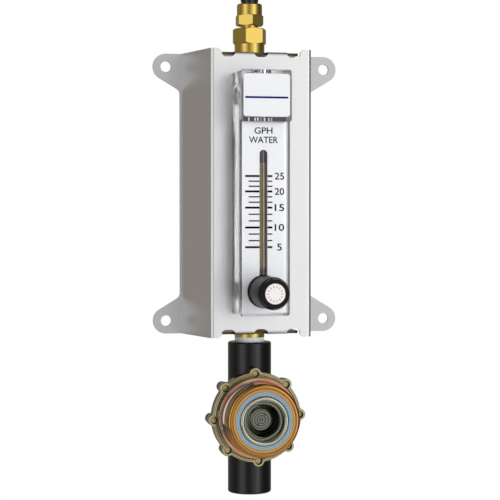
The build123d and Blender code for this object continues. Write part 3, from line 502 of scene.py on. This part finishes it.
def build_zinc():
    made, tree, shader = shader_of("passivated zinc", {"Metallic": 1.0})
    rings = add(tree, "ShaderNodeGroup", node_tree=RINGS)
    rings.inputs["Centre"].default_value = REGULATOR
    place = add(tree, "ShaderNodeTexCoord")
    parts = add(tree, "ShaderNodeSeparateXYZ")
    cloud = add(tree, "ShaderNodeTexNoise", {"Scale": 90.0, "Detail": 3.0})
    fine = add(tree, "ShaderNodeTexNoise", {"Scale": 420.0, "Detail": 2.0})
    depth = add(tree, "ShaderNodeMapRange", {"From Min": -FLANGE_OUT, "From Max": -FRONT_OUT})
    sway = add(tree, "ShaderNodeMapRange", {"To Min": -0.05, "To Max": 0.05})
    side_place = add(tree, "ShaderNodeMath", operation="ADD")
    side = ramp(tree, SIDE_STOPS)
    radius = add(tree, "ShaderNodeMapRange", {"From Max": FRONT_RADIUS})
    face_place = add(tree, "ShaderNodeMath", operation="ADD")
    face_sway = add(tree, "ShaderNodeMapRange", {"To Min": -0.03, "To Max": 0.03})
    face = ramp(tree, FACE_STOPS)
    on_face = add(tree, "ShaderNodeMapRange", {"From Min": 0.955, "From Max": 0.985})
    colour = add(tree, "ShaderNodeMix", data_type="RGBA")
    tint = ramp(tree, [(0.35, (0.86, 0.74, 0.82)), (0.5, (1.0, 1.0, 1.0)), (0.65, (0.76, 0.86, 0.95))])
    tinted = add(tree, "ShaderNodeMix", {0: 0.55}, data_type="RGBA", blend_type="MULTIPLY")
    rough = add(tree, "ShaderNodeMapRange", {"To Min": 0.06, "To Max": 0.16})
    # Painted shade: ambient occlusion darkens the colour in the creases, down to 0.22 of it.
    creases = add(tree, "ShaderNodeAmbientOcclusion", {"Distance": CREASE_REACH}, samples=8)
    crease_shade = add(tree, "ShaderNodeMapRange", {"From Min": 0.45, "From Max": 0.92, "To Min": 0.22})
    crease_shaded = add(tree, "ShaderNodeVectorMath", operation="SCALE")
    wire(
        tree,
        (place.outputs["Object"], parts.inputs[0]), (parts.outputs["Y"], depth.inputs["Value"]),
        (place.outputs["Object"], cloud.inputs["Vector"]), (place.outputs["Object"], fine.inputs["Vector"]),
        (cloud.outputs["Fac"], sway.inputs["Value"]), (depth.outputs["Result"], side_place.inputs[0]),
        (sway.outputs["Result"], side_place.inputs[1]), (side_place.outputs[0], side.inputs["Fac"]),
        (rings.outputs["Radius"], radius.inputs["Value"]), (radius.outputs["Result"], face_place.inputs[0]),
        (cloud.outputs["Fac"], face_sway.inputs["Value"]), (face_sway.outputs["Result"], face_place.inputs[1]),
        (face_place.outputs[0], face.inputs["Fac"]), (depth.outputs["Result"], on_face.inputs["Value"]),
        (on_face.outputs["Result"], colour.inputs[0]), (tint.outputs["Color"], tinted.inputs[7]),
        (side.outputs["Color"], tinted.inputs[6]), (cloud.outputs["Fac"], tint.inputs["Fac"]),
        (tinted.outputs[2], colour.inputs[6]), (face.outputs["Color"], colour.inputs[7]),
        (creases.outputs["AO"], crease_shade.inputs["Value"]), (colour.outputs[2], crease_shaded.inputs[0]),
        (crease_shade.outputs["Result"], crease_shaded.inputs["Scale"]), (crease_shaded.outputs[0], shader.inputs["Base Color"]),
        (fine.outputs["Fac"], rough.inputs["Value"]),
        (rough.outputs["Result"], shader.inputs["Roughness"]),
    )
    return made


zinc = build_zinc()
print("zinc zones on the side", len(SIDE_STOPS), "and on the front", len(FACE_STOPS))

# %% [markdown]
# ## Turned faces
# The sunk adjuster and the blue ring are turned or punched round, so their grain runs in rings about the
# regulator's axis.

# %% Ringed materials
dark_steel = ringed(
    "dark turned steel", (0.05, 0.05, 0.042), (0.20, 0.205, 0.16), 1.9 * MM, 0.006 * MM, 2.2, (0.12, 0.2),
    Metallic=1.0
)
blue_ring = ringed(
    "blue ring", (0.13, 0.24, 0.33), (0.30, 0.42, 0.50), 1.4 * MM, 0.001 * MM, 2.0, (0.12, 0.24)
)
print("ringed materials", dark_steel.name, "and", blue_ring.name)

# %% [markdown]
# ## Print
# Ink on the scale is a hair of thickness, satin, and not quite even. Four inks are needed: black for the scale, navy
# for the header's rule, red for the marks round the knob's cap and white for the dashes on the dark strip.

# %% Inks
black_ink = grained(
    "black ink", (0.002, 0.002, 0.003), (0.006, 0.006, 0.008), COARSE, 0.000002, (0.4, 0.55), Specular_IOR_Level=0.1
)
navy_ink = grained(
    "navy ink", (0.003, 0.005, 0.11), (0.006, 0.010, 0.16), COARSE, 0.000002, (0.4, 0.55), Specular_IOR_Level=0.1
)
red_ink = grained("red ink", (0.45, 0.03, 0.03), (0.58, 0.06, 0.05), COARSE, 0.000002, (0.4, 0.55))
white_ink = grained("white ink", (0.80, 0.80, 0.81), (0.90, 0.90, 0.91), COARSE, 0.000002, (0.4, 0.55))
print("inks", [ink.name for ink in (black_ink, navy_ink, red_ink, white_ink)])

# %% [markdown]
# ## Dressing a part from the frame
# The frame's meshes are loose triangles with hard corners. A real folded, turned or moulded part has a small
# radius on every edge, and that radius is what catches the light. So a copy of the mesh is merged, its flat faces
# are joined up, its sharp edges get a narrow bevel, and it is shaded smooth up to an angle. The copy stands for the
# part, which stays in the frame.


# %% Dressing function
AIR_FILM, SHARPEST, FLAT = 0.04 * MM, 1.5, math.radians(0.05)


def finish_piece(piece, material, body):
    """Material, body and slot for a finished piece."""
    piece.data.materials.clear()
    piece.data.materials.append(material)
    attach(piece, body)


def settle(piece):
    """Applies every modifier of a piece by swapping in its evaluated mesh."""
    bpy.context.view_layer.update()
    evaluated = piece.evaluated_get(bpy.context.evaluated_depsgraph_get())
    mesh = bpy.data.meshes.new_from_object(evaluated)
    piece.modifiers.clear()
    piece.data = mesh


def shade(piece, degrees):
    """Smooth shading with hard edges above an angle, and flat faces kept flat beside their bevels."""
    piece.data.polygons.foreach_set("use_smooth", [True] * len(piece.data.polygons))
    piece.data.set_sharp_from_angle(angle=math.radians(degrees))
    piece.modifiers.new("flat faces", "WEIGHTED_NORMAL").keep_sharp = True
    settle(piece)


def pull_in(mesh, depth):
    """Draws every face in by a hair, so that a clear block and what touches it don't share a surface; the sharpest
    corners move no further than SHARPEST times that."""
    grid = bmesh.new()
    grid.from_mesh(mesh)
    bmesh.ops.triangulate(grid, faces=grid.faces)
    grid.normal_update()
    shifts = [corner.normal * min(corner.calc_shell_factor(), SHARPEST) * depth for corner in grid.verts]
    for corner, shift in zip(grid.verts, shifts):
        corner.co -= shift
    grid.to_mesh(mesh)
    grid.free()


def widened(node, piece, radius):
    """Scales a round piece about its upright axis to a radius."""
    centre = middle(node)
    share = radius / half_width(node)
    piece.data.transform(Matrix.Translation(-centre))
    piece.data.transform(Matrix.Diagonal((share, share, 1, 1)))
    piece.data.transform(Matrix.Translation(centre))


def dressed(node, name, material, edge=0.25 * MM, degrees=40, segments=2, draw_in=0):
    """A merged, bevelled and smooth copy of a part that stands for it, its faces drawn in by a hair if asked."""
    source = frame["nodes"][node]
    mesh = bpy.data.meshes.new(name)
    grid = bmesh.new()
    grid.from_mesh(source.data)
    bmesh.ops.remove_doubles(grid, verts=grid.verts, dist=0.002 * MM)
    bmesh.ops.dissolve_limit(grid, angle_limit=FLAT, verts=grid.verts, edges=grid.edges)
    grid.to_mesh(mesh)
    grid.free()
    piece = bpy.data.objects.new(name, mesh)
    bpy.context.scene.collection.objects.link(piece)
    if edge:
        bevel = piece.modifiers.new("edge", "BEVEL")
        bevel.width, bevel.segments = edge, segments
        bevel.limit_method, bevel.angle_limit = "ANGLE", math.radians(degrees)
        bevel.use_clamp_overlap = True
        settle(piece)
    if draw_in:
        pull_in(piece.data, draw_in)
    shade(piece, degrees)
    finish_piece(piece, material, source["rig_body"])
    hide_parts(node)
    return piece


# %% [markdown]
# ## The bracket and the fittings
# These parts are already the right shape, so they are dressed. The bracket is 2 mm sheet whose punched edges are
# barely broken, and the brass parts have a crisper corner.

# %% Dress the bracket and the fittings
dressed("mounting_bracket", "bracket_sheet", stainless, edge=0.18 * MM)
BRASS_PARTS = ["upper_elbow", "lower_elbow", "upper_panel_nut", "lower_panel_nut", "shelf_coupling",
               "tube_fitting_body", "lower_nipple", "valve_gland"]
for node in BRASS_PARTS:
    dressed(node, node + "_brass", brass, edge=0.12 * MM)
for node in ("upper_panel_washer", "lower_panel_washer"):
    dressed(node, node + "_steel", stainless, edge=0.1 * MM)
dressed("regulator_body", "regulator_moulding", black_plastic, edge=0.2 * MM)
dressed("collet", "collet_moulding", gloss_black, edge=0.1 * MM)
dressed("meter_body", "meter_block", acrylic, edge=0.3 * MM, segments=3, draw_in=AIR_FILM)
dressed("scale_plate", "scale_card", white_plate, edge=0.05 * MM)
dressed("header_label", "header_card", white_plate, edge=0.08 * MM)
dressed("scale_retainer", "retainer_strip", knob_black, edge=0.1 * MM)

# The tube and the stop touch the bore, or the film of air round them would mirror the room.
BORE = half_width("upper_stop_seal") + 2 * AIR_FILM
widened("metering_tube", dressed("metering_tube", "amber_column", amber, edge=0), BORE)
widened("upper_float_stop", dressed("upper_float_stop", "upper_stop", stop_grey, edge=0), BORE)
dressed("end_plug", "end_plug_nickel", steel, edge=0.12 * MM)
dressed("thread_tape", "tape_wrap", tape_white, edge=0.1 * MM)
dressed("pressure_adjuster", "adjuster_cup", dark_steel, edge=0.15 * MM)
dressed("bonnet", "bonnet_shell", zinc, edge=0)
dressed("ring_label", "ring_band", blue_ring, edge=0.04 * MM)
dressed("knob", "knob_moulding", knob_black, edge=0)
dressed("knob_cap", "knob_button", cap_white, edge=0)

# %% [markdown]
# Parts that are hidden or tiny keep their own mesh and only need a material.

# %% Materials of the remaining parts
KEPT = {
    "tube_seal": rubber, "upper_stop_seal": rubber, "end_plug_seal": rubber, "stem_seal": rubber,
    "outlet_tube_seal": rubber, "diaphragm": rubber, "flow_float": steel,
    "lower_float_stop": grey_plastic, "valve_stem": steel, "knob_screw": steel, "grab_ring": spring_steel,
    "valve_seat": brass, "poppet": brass, "poppet_spring": spring_steel, "diaphragm_plate": spring_steel,
    "range_spring": spring_steel, "thrust_washer": spring_steel, "flange_screws": zinc,
}
for node, material in KEPT.items():
    mesh = frame["nodes"][node].data
    mesh.materials.clear()
    mesh.materials.append(material)
print("kept parts with a new material", len(KEPT))

# %% [markdown]
# ## Scale marks with Geometry Nodes
# A flow scale is a ladder of bars. Each bar is the same unit box, placed on a point and stretched to the point's own
# width, so the ladder is one short node tree: points in, bars out. The points carry two attributes, the bar's width
# and its height. The same tree makes the white dashes on the dark strip and the rule on the header.


# %% Bars on points
def build_bar_tree():
    tree, ins, outs = new_group(
        "bars on points", "GeometryNodeTree",
        [("Points", "NodeSocketGeometry", None), ("Thickness", "NodeSocketFloat", 0.0001),
         ("Ink", "NodeSocketMaterial", None)],
        [("Bars", "NodeSocketGeometry")],
    )
    cube = add(tree, "GeometryNodeMeshCube", {"Size": (1, 1, 1)})
    wide = add(tree, "GeometryNodeInputNamedAttribute", {"Name": "wide"}, data_type="FLOAT")
    tall = add(tree, "GeometryNodeInputNamedAttribute", {"Name": "tall"}, data_type="FLOAT")
    size = add(tree, "ShaderNodeCombineXYZ")
    place = add(tree, "GeometryNodeInstanceOnPoints")
    solid = add(tree, "GeometryNodeRealizeInstances")
    paint = add(tree, "GeometryNodeSetMaterial")
    wire(
        tree,
        (ins.outputs["Points"], place.inputs["Points"]), (cube.outputs["Mesh"], place.inputs["Instance"]),
        (wide.outputs["Attribute"], size.inputs["X"]), (ins.outputs["Thickness"], size.inputs["Y"]),
        (tall.outputs["Attribute"], size.inputs["Z"]), (size.outputs[0], place.inputs["Scale"]),
        (place.outputs["Instances"], solid.inputs["Geometry"]), (solid.outputs["Geometry"], paint.inputs["Geometry"]),
        (ins.outputs["Ink"], paint.inputs["Material"]), (paint.outputs["Geometry"], outs.inputs["Bars"]),
    )
    return tree


def grown(name, tree, points, inputs, body, attributes=None):
    """Runs a tree on points, keeps the result as a plain mesh and lets it ride on a body."""
    mesh = bpy.data.meshes.new(name)
    mesh.from_pydata(points, [], [])
    for label, values in (attributes or {}).items():
        mesh.attributes.new(label, "FLOAT", "POINT").data.foreach_set("value", values)
    piece = bpy.data.objects.new(name, mesh)
    bpy.context.scene.collection.objects.link(piece)
    modifier = piece.modifiers.new("grow", "NODES")
    modifier.node_group = tree
    sockets = {item.name: item.identifier for item in tree.interface.items_tree if item.in_out == "INPUT"}
    for label, value in inputs.items():
        modifier[sockets[label]] = value
    settle(piece)
    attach(piece, body)
    return piece


BARS = build_bar_tree()
INK_DEPTH = 0.06 * MM
MAJOR_MARKS = {25: 12.5 * MM, 20: 1.2 * MM, 15: -10.7 * MM, 10: -25.3 * MM, 5: -39.8 * MM}
SLOT_EDGE = 3.05 * MM
MAJOR_REACH, MINOR_REACH = 13.9 * MM, 11.2 * MM
RIGHT_REACH = 6.7 * MM
MARK_HEIGHT, MINOR_HEIGHT = 1.5 * MM, 0.95 * MM


def scale_points():
    """Centres, widths and heights of the scale's bars."""
    rows = []
    levels = list(MAJOR_MARKS.values())
    for level in levels:
        rows.append((-MAJOR_REACH, -SLOT_EDGE, level, MARK_HEIGHT))
        rows.append((SLOT_EDGE, RIGHT_REACH, level, MARK_HEIGHT))
    for above, below in zip(levels, levels[1:]):
        for third in (1, 2):
            level = above + (below - above) * third / 3
            rows.append((-MINOR_REACH, -SLOT_EDGE, level, MINOR_HEIGHT))
            rows.append((SLOT_EDGE, RIGHT_REACH, level, MINOR_HEIGHT))
    middle_out = -(SCALE_FACE + INK_DEPTH / 2)
    points = [(AXIS_X + (left + right) / 2, middle_out, level) for left, right, level, _ in rows]
    return points, [right - left for left, right, _, _ in rows], [height for *_, height in rows]


points, widths, heights = scale_points()
grown("scale_marks", BARS, points, {"Thickness": INK_DEPTH, "Ink": black_ink}, "panel",
      {"wide": widths, "tall": heights})
print("scale marks", len(points))

# %% Rule on the header and dashes on the strip
RULE_Z, RULE_WIDTH, RULE_HEIGHT = 69.6 * MM, 32.2 * MM, 1.4 * MM
grown("header_rule", BARS, [(AXIS_X, -(LABEL_FACE + INK_DEPTH / 2), RULE_Z)],
      {"Thickness": INK_DEPTH, "Ink": navy_ink}, "panel",
      {"wide": [RULE_WIDTH], "tall": [RULE_HEIGHT]})
strip_low, strip_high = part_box("scale_retainer")
DASH_HEIGHT = 2.4 * MM
DASHES = {0.12: 0.8, 0.27: 1.1, 0.335: 1.0, 0.41: 0.5, 0.49: 1.0, 0.59: 0.9, 0.655: 0.8}
dash_z = (strip_low.z + strip_high.z) / 2
dash_points = [
    (strip_low.x + share * (strip_high.x - strip_low.x), strip_low.y - INK_DEPTH / 2, dash_z) for share in DASHES
]
grown("strip_dashes", BARS, dash_points, {"Thickness": INK_DEPTH, "Ink": white_ink}, "panel",
      {"wide": [width * MM for width in DASHES.values()], "tall": [DASH_HEIGHT] * len(DASHES)})
print("dashes on the strip", len(DASHES))

# %% [markdown]
# ## Numbers and unit words
# A scale's words are text objects, given a hair of thickness and turned into meshes, so that they stand on the plate
# as ink does. The text's own size is the height of its line, so each word is scaled to the height and width that it
# has on the plate.


# %% Lettering
def lettering(name, words, x, z, height, ink, face, width):
    """Text as a thin mesh of a given height and width, centred on a place on a face."""
    font = bpy.data.curves.new(name, "FONT")
    font.body = words
    font.extrude = 0.5
    font.resolution_u = 6
    font.offset = 0.012
    text = bpy.data.objects.new(name, font)
    bpy.context.scene.collection.objects.link(text)
    bpy.context.view_layer.update()
    mesh = bpy.data.meshes.new_from_object(text.evaluated_get(bpy.context.evaluated_depsgraph_get()))
    bpy.data.objects.remove(text)
    low = [min(v.co[axis] for v in mesh.vertices) for axis in range(3)]
    high = [max(v.co[axis] for v in mesh.vertices) for axis in range(3)]
    tall = height / (high[1] - low[1])
    wide = width / (high[0] - low[0])
    deep = INK_DEPTH / (high[2] - low[2])
    centre = Vector([(a + b) / 2 for a, b in zip(low, high)])
    mesh.transform(Matrix.Translation(-centre))
    mesh.transform(Matrix.Diagonal((wide, tall, deep, 1)))
    mesh.transform(Matrix.Rotation(math.radians(90), 4, "X"))
    mesh.transform(Matrix.Translation((x, -(face + INK_DEPTH / 2), z)))
    piece = bpy.data.objects.new(name, mesh)
    bpy.context.scene.collection.objects.link(piece)
    finish_piece(piece, ink, "panel")


NUMBER_X, NUMBER_HEIGHT, DIGIT_WIDTH = 8.7 * MM, 5.2 * MM, 3.6 * MM
for number, level in MAJOR_MARKS.items():
    digits = str(number)
    lettering(f"number_{number}", digits, NUMBER_X, level, NUMBER_HEIGHT, black_ink, SCALE_FACE,
              DIGIT_WIDTH * len(digits))
UNIT_HEIGHT = 4.8 * MM
UNIT_WORDS = {"unit_word_top": ("GPH", 45.9 * MM, 13.6 * MM), "unit_word_low": ("WATER", 39.1 * MM, 21.9 * MM)}
for name, (word, level, width) in UNIT_WORDS.items():
    lettering(name, word, AXIS_X, level, UNIT_HEIGHT, black_ink, SCALE_FACE, width)
print("words and numbers", len(MAJOR_MARKS) + len(UNIT_WORDS))

# %% [markdown]
# ## Marks round the knob's cap
# The cap carries short red marks near its rim. They repeat about an axis, so a second tree takes one bar and turns
# copies of it about the origin; the finished mesh is then moved to the knob, and it rides on the knob's own body so
# that it turns with it.


# %% Things in a ring
def build_ring_tree():
    tree, ins, outs = new_group(
        "bars in a ring", "GeometryNodeTree",
        [("Points", "NodeSocketGeometry", None), ("Count", "NodeSocketInt", 12), ("Radius", "NodeSocketFloat", 0.005),
         ("Size", "NodeSocketVector", (0.001, 0.001, 0.001)), ("Ink", "NodeSocketMaterial", None)],
        [("Bars", "NodeSocketGeometry")],
    )
    circle = add(tree, "GeometryNodeMeshCircle")
    cube = add(tree, "GeometryNodeMeshCube")
    place = add(tree, "GeometryNodeInstanceOnPoints")
    index = add(tree, "GeometryNodeInputIndex")
    part = add(tree, "ShaderNodeMath", operation="DIVIDE")
    angle = add(tree, "ShaderNodeMath", {1: 2 * math.pi}, operation="MULTIPLY")
    turn = add(tree, "ShaderNodeCombineXYZ")
    solid = add(tree, "GeometryNodeRealizeInstances")
    paint = add(tree, "GeometryNodeSetMaterial")
    wire(
        tree,
        (ins.outputs["Count"], circle.inputs["Vertices"]), (ins.outputs["Radius"], circle.inputs["Radius"]),
        (ins.outputs["Size"], cube.inputs["Size"]), (circle.outputs["Mesh"], place.inputs["Points"]),
        (cube.outputs["Mesh"], place.inputs["Instance"]), (index.outputs[0], part.inputs[0]),
        (ins.outputs["Count"], part.inputs[1]), (part.outputs[0], angle.inputs[0]),
        (angle.outputs[0], turn.inputs["Z"]), (turn.outputs[0], place.inputs["Rotation"]),
        (place.outputs["Instances"], solid.inputs["Geometry"]), (solid.outputs["Geometry"], paint.inputs["Geometry"]),
        (ins.outputs["Ink"], paint.inputs["Material"]), (paint.outputs["Geometry"], outs.inputs["Bars"]),
    )
    return tree


RING = build_ring_tree()
CAP_MARKS, CAP_MARK_RADIUS, CAP_MARK_LENGTH, CAP_MARK_WIDTH = 14, 5.2 * MM, 1.5 * MM, 0.5 * MM
cap_face = out_of("knob_cap")[1]
cap_mark = (CAP_MARK_LENGTH, CAP_MARK_WIDTH, INK_DEPTH)
marks = grown("cap_marks", RING, [(0, 0, 0)],
              {"Count": CAP_MARKS, "Radius": CAP_MARK_RADIUS, "Size": cap_mark, "Ink": red_ink},
              "valve_knob")
marks.data.transform(Matrix.Rotation(math.radians(90), 4, "X"))
marks.data.transform(Matrix.Translation((KNOB.x, -(cap_face + INK_DEPTH / 2), KNOB.z)))
print("marks round the cap", CAP_MARKS, "faces", len(marks.data.polygons))

# %% [markdown]
# ## Floor, light and camera
# The panel hangs in front of a plain white ground. The world is white to the camera alone, and gives only a soft fill
# to dull surfaces. Metal and clear plastic see a studio instead: a ring of bright and dark walls round the panel,
# listed by the angle from straight ahead, which fades above and below. A large lamp stands to the right of the camera
# and a weaker one to the left, both unseen in reflections, where the bright walls stand for them. The floor glows a
# little to the camera only, so that it stays pale from above and still keeps a shadow.


# %% Stage
FILL_STRENGTH = 0.36
ROOM_PEAK = 2.4
ROOM_FADE = 0.3
FLOOR_Z, FLOOR_REACH, FLOOR_GLOW = -0.95, 2.2, 0.62
ROOM = [
    (-180, (0.30, 0.28, 0.25)), (-150, (0.26, 0.24, 0.21)), (-123, (0.33, 0.30, 0.265)), (-96, (0.24, 0.22, 0.20)),
    (-76, (0.40, 0.39, 0.38)), (-58, (1.5, 1.5, 1.5)), (-44, (1.5, 1.5, 1.5)), (-30, (0.45, 0.45, 0.45)),
    (-14, (0.24, 0.24, 0.24)), (1, (0.66, 0.66, 0.66)), (8, (1.02, 1.02, 1.02)), (19, (1.08, 1.08, 1.08)),
    (33, (2.3, 2.3, 2.3)), (41, (1.5, 1.5, 1.5)), (50, (0.6, 0.6, 0.6)), (64, (0.17, 0.17, 0.17)),
    (90, (0.08, 0.08, 0.08)), (135, (0.19, 0.18, 0.17)), (160, (0.26, 0.24, 0.22)), (180, (0.30, 0.28, 0.25)),
]


def build_world():
    """White to the camera, a soft fill to dull surfaces, and a ring of bright and dark walls to shiny ones."""
    world = bpy.data.worlds.new("soft white room")
    bpy.context.scene.world = world
    world.use_nodes = True
    tree = world.node_tree
    tree.nodes.clear()
    path = add(tree, "ShaderNodeLightPath")
    shiny = add(tree, "ShaderNodeMath", operation="MAXIMUM")
    white = add(tree, "ShaderNodeBackground", {"Color": (1, 1, 1, 1), "Strength": 1.0})
    fill = add(tree, "ShaderNodeBackground", {"Color": (1, 0.995, 0.985, 1), "Strength": FILL_STRENGTH})
    direction = add(tree, "ShaderNodeTexCoord")
    parts = add(tree, "ShaderNodeSeparateXYZ")
    ahead = add(tree, "ShaderNodeMath", {1: -1.0}, operation="MULTIPLY")
    turn = add(tree, "ShaderNodeMath", operation="ARCTAN2")
    place = add(tree, "ShaderNodeMapRange", {"From Min": -math.pi, "From Max": math.pi})
    walls = ramp(tree, [((turn_at + 180) / 360, [part / ROOM_PEAK for part in level]) for turn_at, level in ROOM])
    steep = add(tree, "ShaderNodeMath", operation="ABSOLUTE")
    lower = add(tree, "ShaderNodeMapRange", {"From Min": 0.3, "From Max": 0.95, "To Min": ROOM_PEAK,
                                             "To Max": ROOM_FADE * ROOM_PEAK})
    room = add(tree, "ShaderNodeBackground")
    reflected = add(tree, "ShaderNodeMixShader")
    mix = add(tree, "ShaderNodeMixShader")
    output = add(tree, "ShaderNodeOutputWorld")
    wire(
        tree,
        (path.outputs["Is Glossy Ray"], shiny.inputs[0]), (path.outputs["Is Transmission Ray"], shiny.inputs[1]),
        (direction.outputs["Generated"], parts.inputs[0]), (parts.outputs["Y"], ahead.inputs[0]),
        (parts.outputs["X"], turn.inputs[0]), (ahead.outputs[0], turn.inputs[1]),
        (turn.outputs[0], place.inputs["Value"]), (place.outputs["Result"], walls.inputs["Fac"]),
        (walls.outputs["Color"], room.inputs["Color"]), (parts.outputs["Z"], steep.inputs[0]),
        (steep.outputs[0], lower.inputs["Value"]), (lower.outputs["Result"], room.inputs["Strength"]),
        (shiny.outputs[0], reflected.inputs[0]), (fill.outputs[0], reflected.inputs[1]),
        (room.outputs[0], reflected.inputs[2]), (path.outputs["Is Camera Ray"], mix.inputs[0]),
        (reflected.outputs[0], mix.inputs[1]), (white.outputs[0], mix.inputs[2]),
        (mix.outputs[0], output.inputs["Surface"]),
    )


def build_floor():
    """A pale floor far below the panel."""
    paint = grained("pale floor", (0.86, 0.86, 0.86), (0.90, 0.90, 0.90), (8, 8, 8), 0.00001, (0.6, 0.7))
    tree = paint.node_tree
    sockets = tree.nodes["Principled BSDF"].inputs
    sockets["Emission Color"].default_value = (1, 1, 1, 1)
    path = add(tree, "ShaderNodeLightPath")
    glow = add(tree, "ShaderNodeMath", {1: FLOOR_GLOW}, operation="MULTIPLY")
    wire(
        tree,
        (path.outputs["Is Camera Ray"], glow.inputs[0]), (glow.outputs[0], sockets["Emission Strength"]),
    )
    mesh = bpy.data.meshes.new("floor")
    corners = [(-1, -1), (1, -1), (1, 1), (-1, 1)]
    mesh.from_pydata([(x * FLOOR_REACH, y * FLOOR_REACH, FLOOR_Z) for x, y in corners], [], [(0, 1, 2, 3)])
    mesh.materials.append(paint)
    floor = bpy.data.objects.new("floor", mesh)
    bpy.context.scene.collection.objects.link(floor)


def strip(name, turn, distance, height, wide, tall, power):
    """A tall soft box that stands round the panel at an angle from straight ahead and looks at it."""
    light = bpy.data.lights.new(name, "AREA")
    light.shape, light.size, light.size_y, light.energy = "RECTANGLE", wide, tall, power
    thing = bpy.data.objects.new(name, light)
    angle = math.radians(turn)
    thing.location = (distance * math.sin(angle), -distance * math.cos(angle), height)
    thing.rotation_euler = (Vector((0, 0, height)) - thing.location).to_track_quat("-Z", "Y").to_euler()
    bpy.context.scene.collection.objects.link(thing)
    thing.visible_camera = thing.visible_glossy = False


build_world()
build_floor()
strip("key", turn=34, distance=1.5, height=0.05, wide=0.42, tall=1.7, power=15)
strip("fill", turn=-48, distance=1.5, height=0.0, wide=0.30, tall=1.7, power=4)
print("room walls", len(ROOM), "lamps", len(bpy.data.lights))

# %% [markdown]
# The camera stands to the left of the panel and a little below its middle, which shows the bracket's left side and
# hides its right one. A long lens keeps the perspective as flat as it is in the photograph.

# %% Camera
CAMERA_PLACE, CAMERA_LENS = (-0.28313, -1.23217, -0.01287), 116.37
CAMERA_TURN, CAMERA_DROP = 13.123, 1.397
camera_data = bpy.data.cameras.new("camera")
camera_data.lens, camera_data.sensor_width = CAMERA_LENS, 36.0
camera = bpy.data.objects.new("camera", camera_data)
camera.location = CAMERA_PLACE
camera.rotation_euler = (math.radians(90 - CAMERA_DROP), 0, math.radians(-CAMERA_TURN))
bpy.context.scene.collection.objects.link(camera)
bpy.context.scene.camera = camera
bpy.context.scene.view_settings.view_transform = "Standard"
print("camera turned by", CAMERA_TURN, "degrees, lens", CAMERA_LENS, "mm")
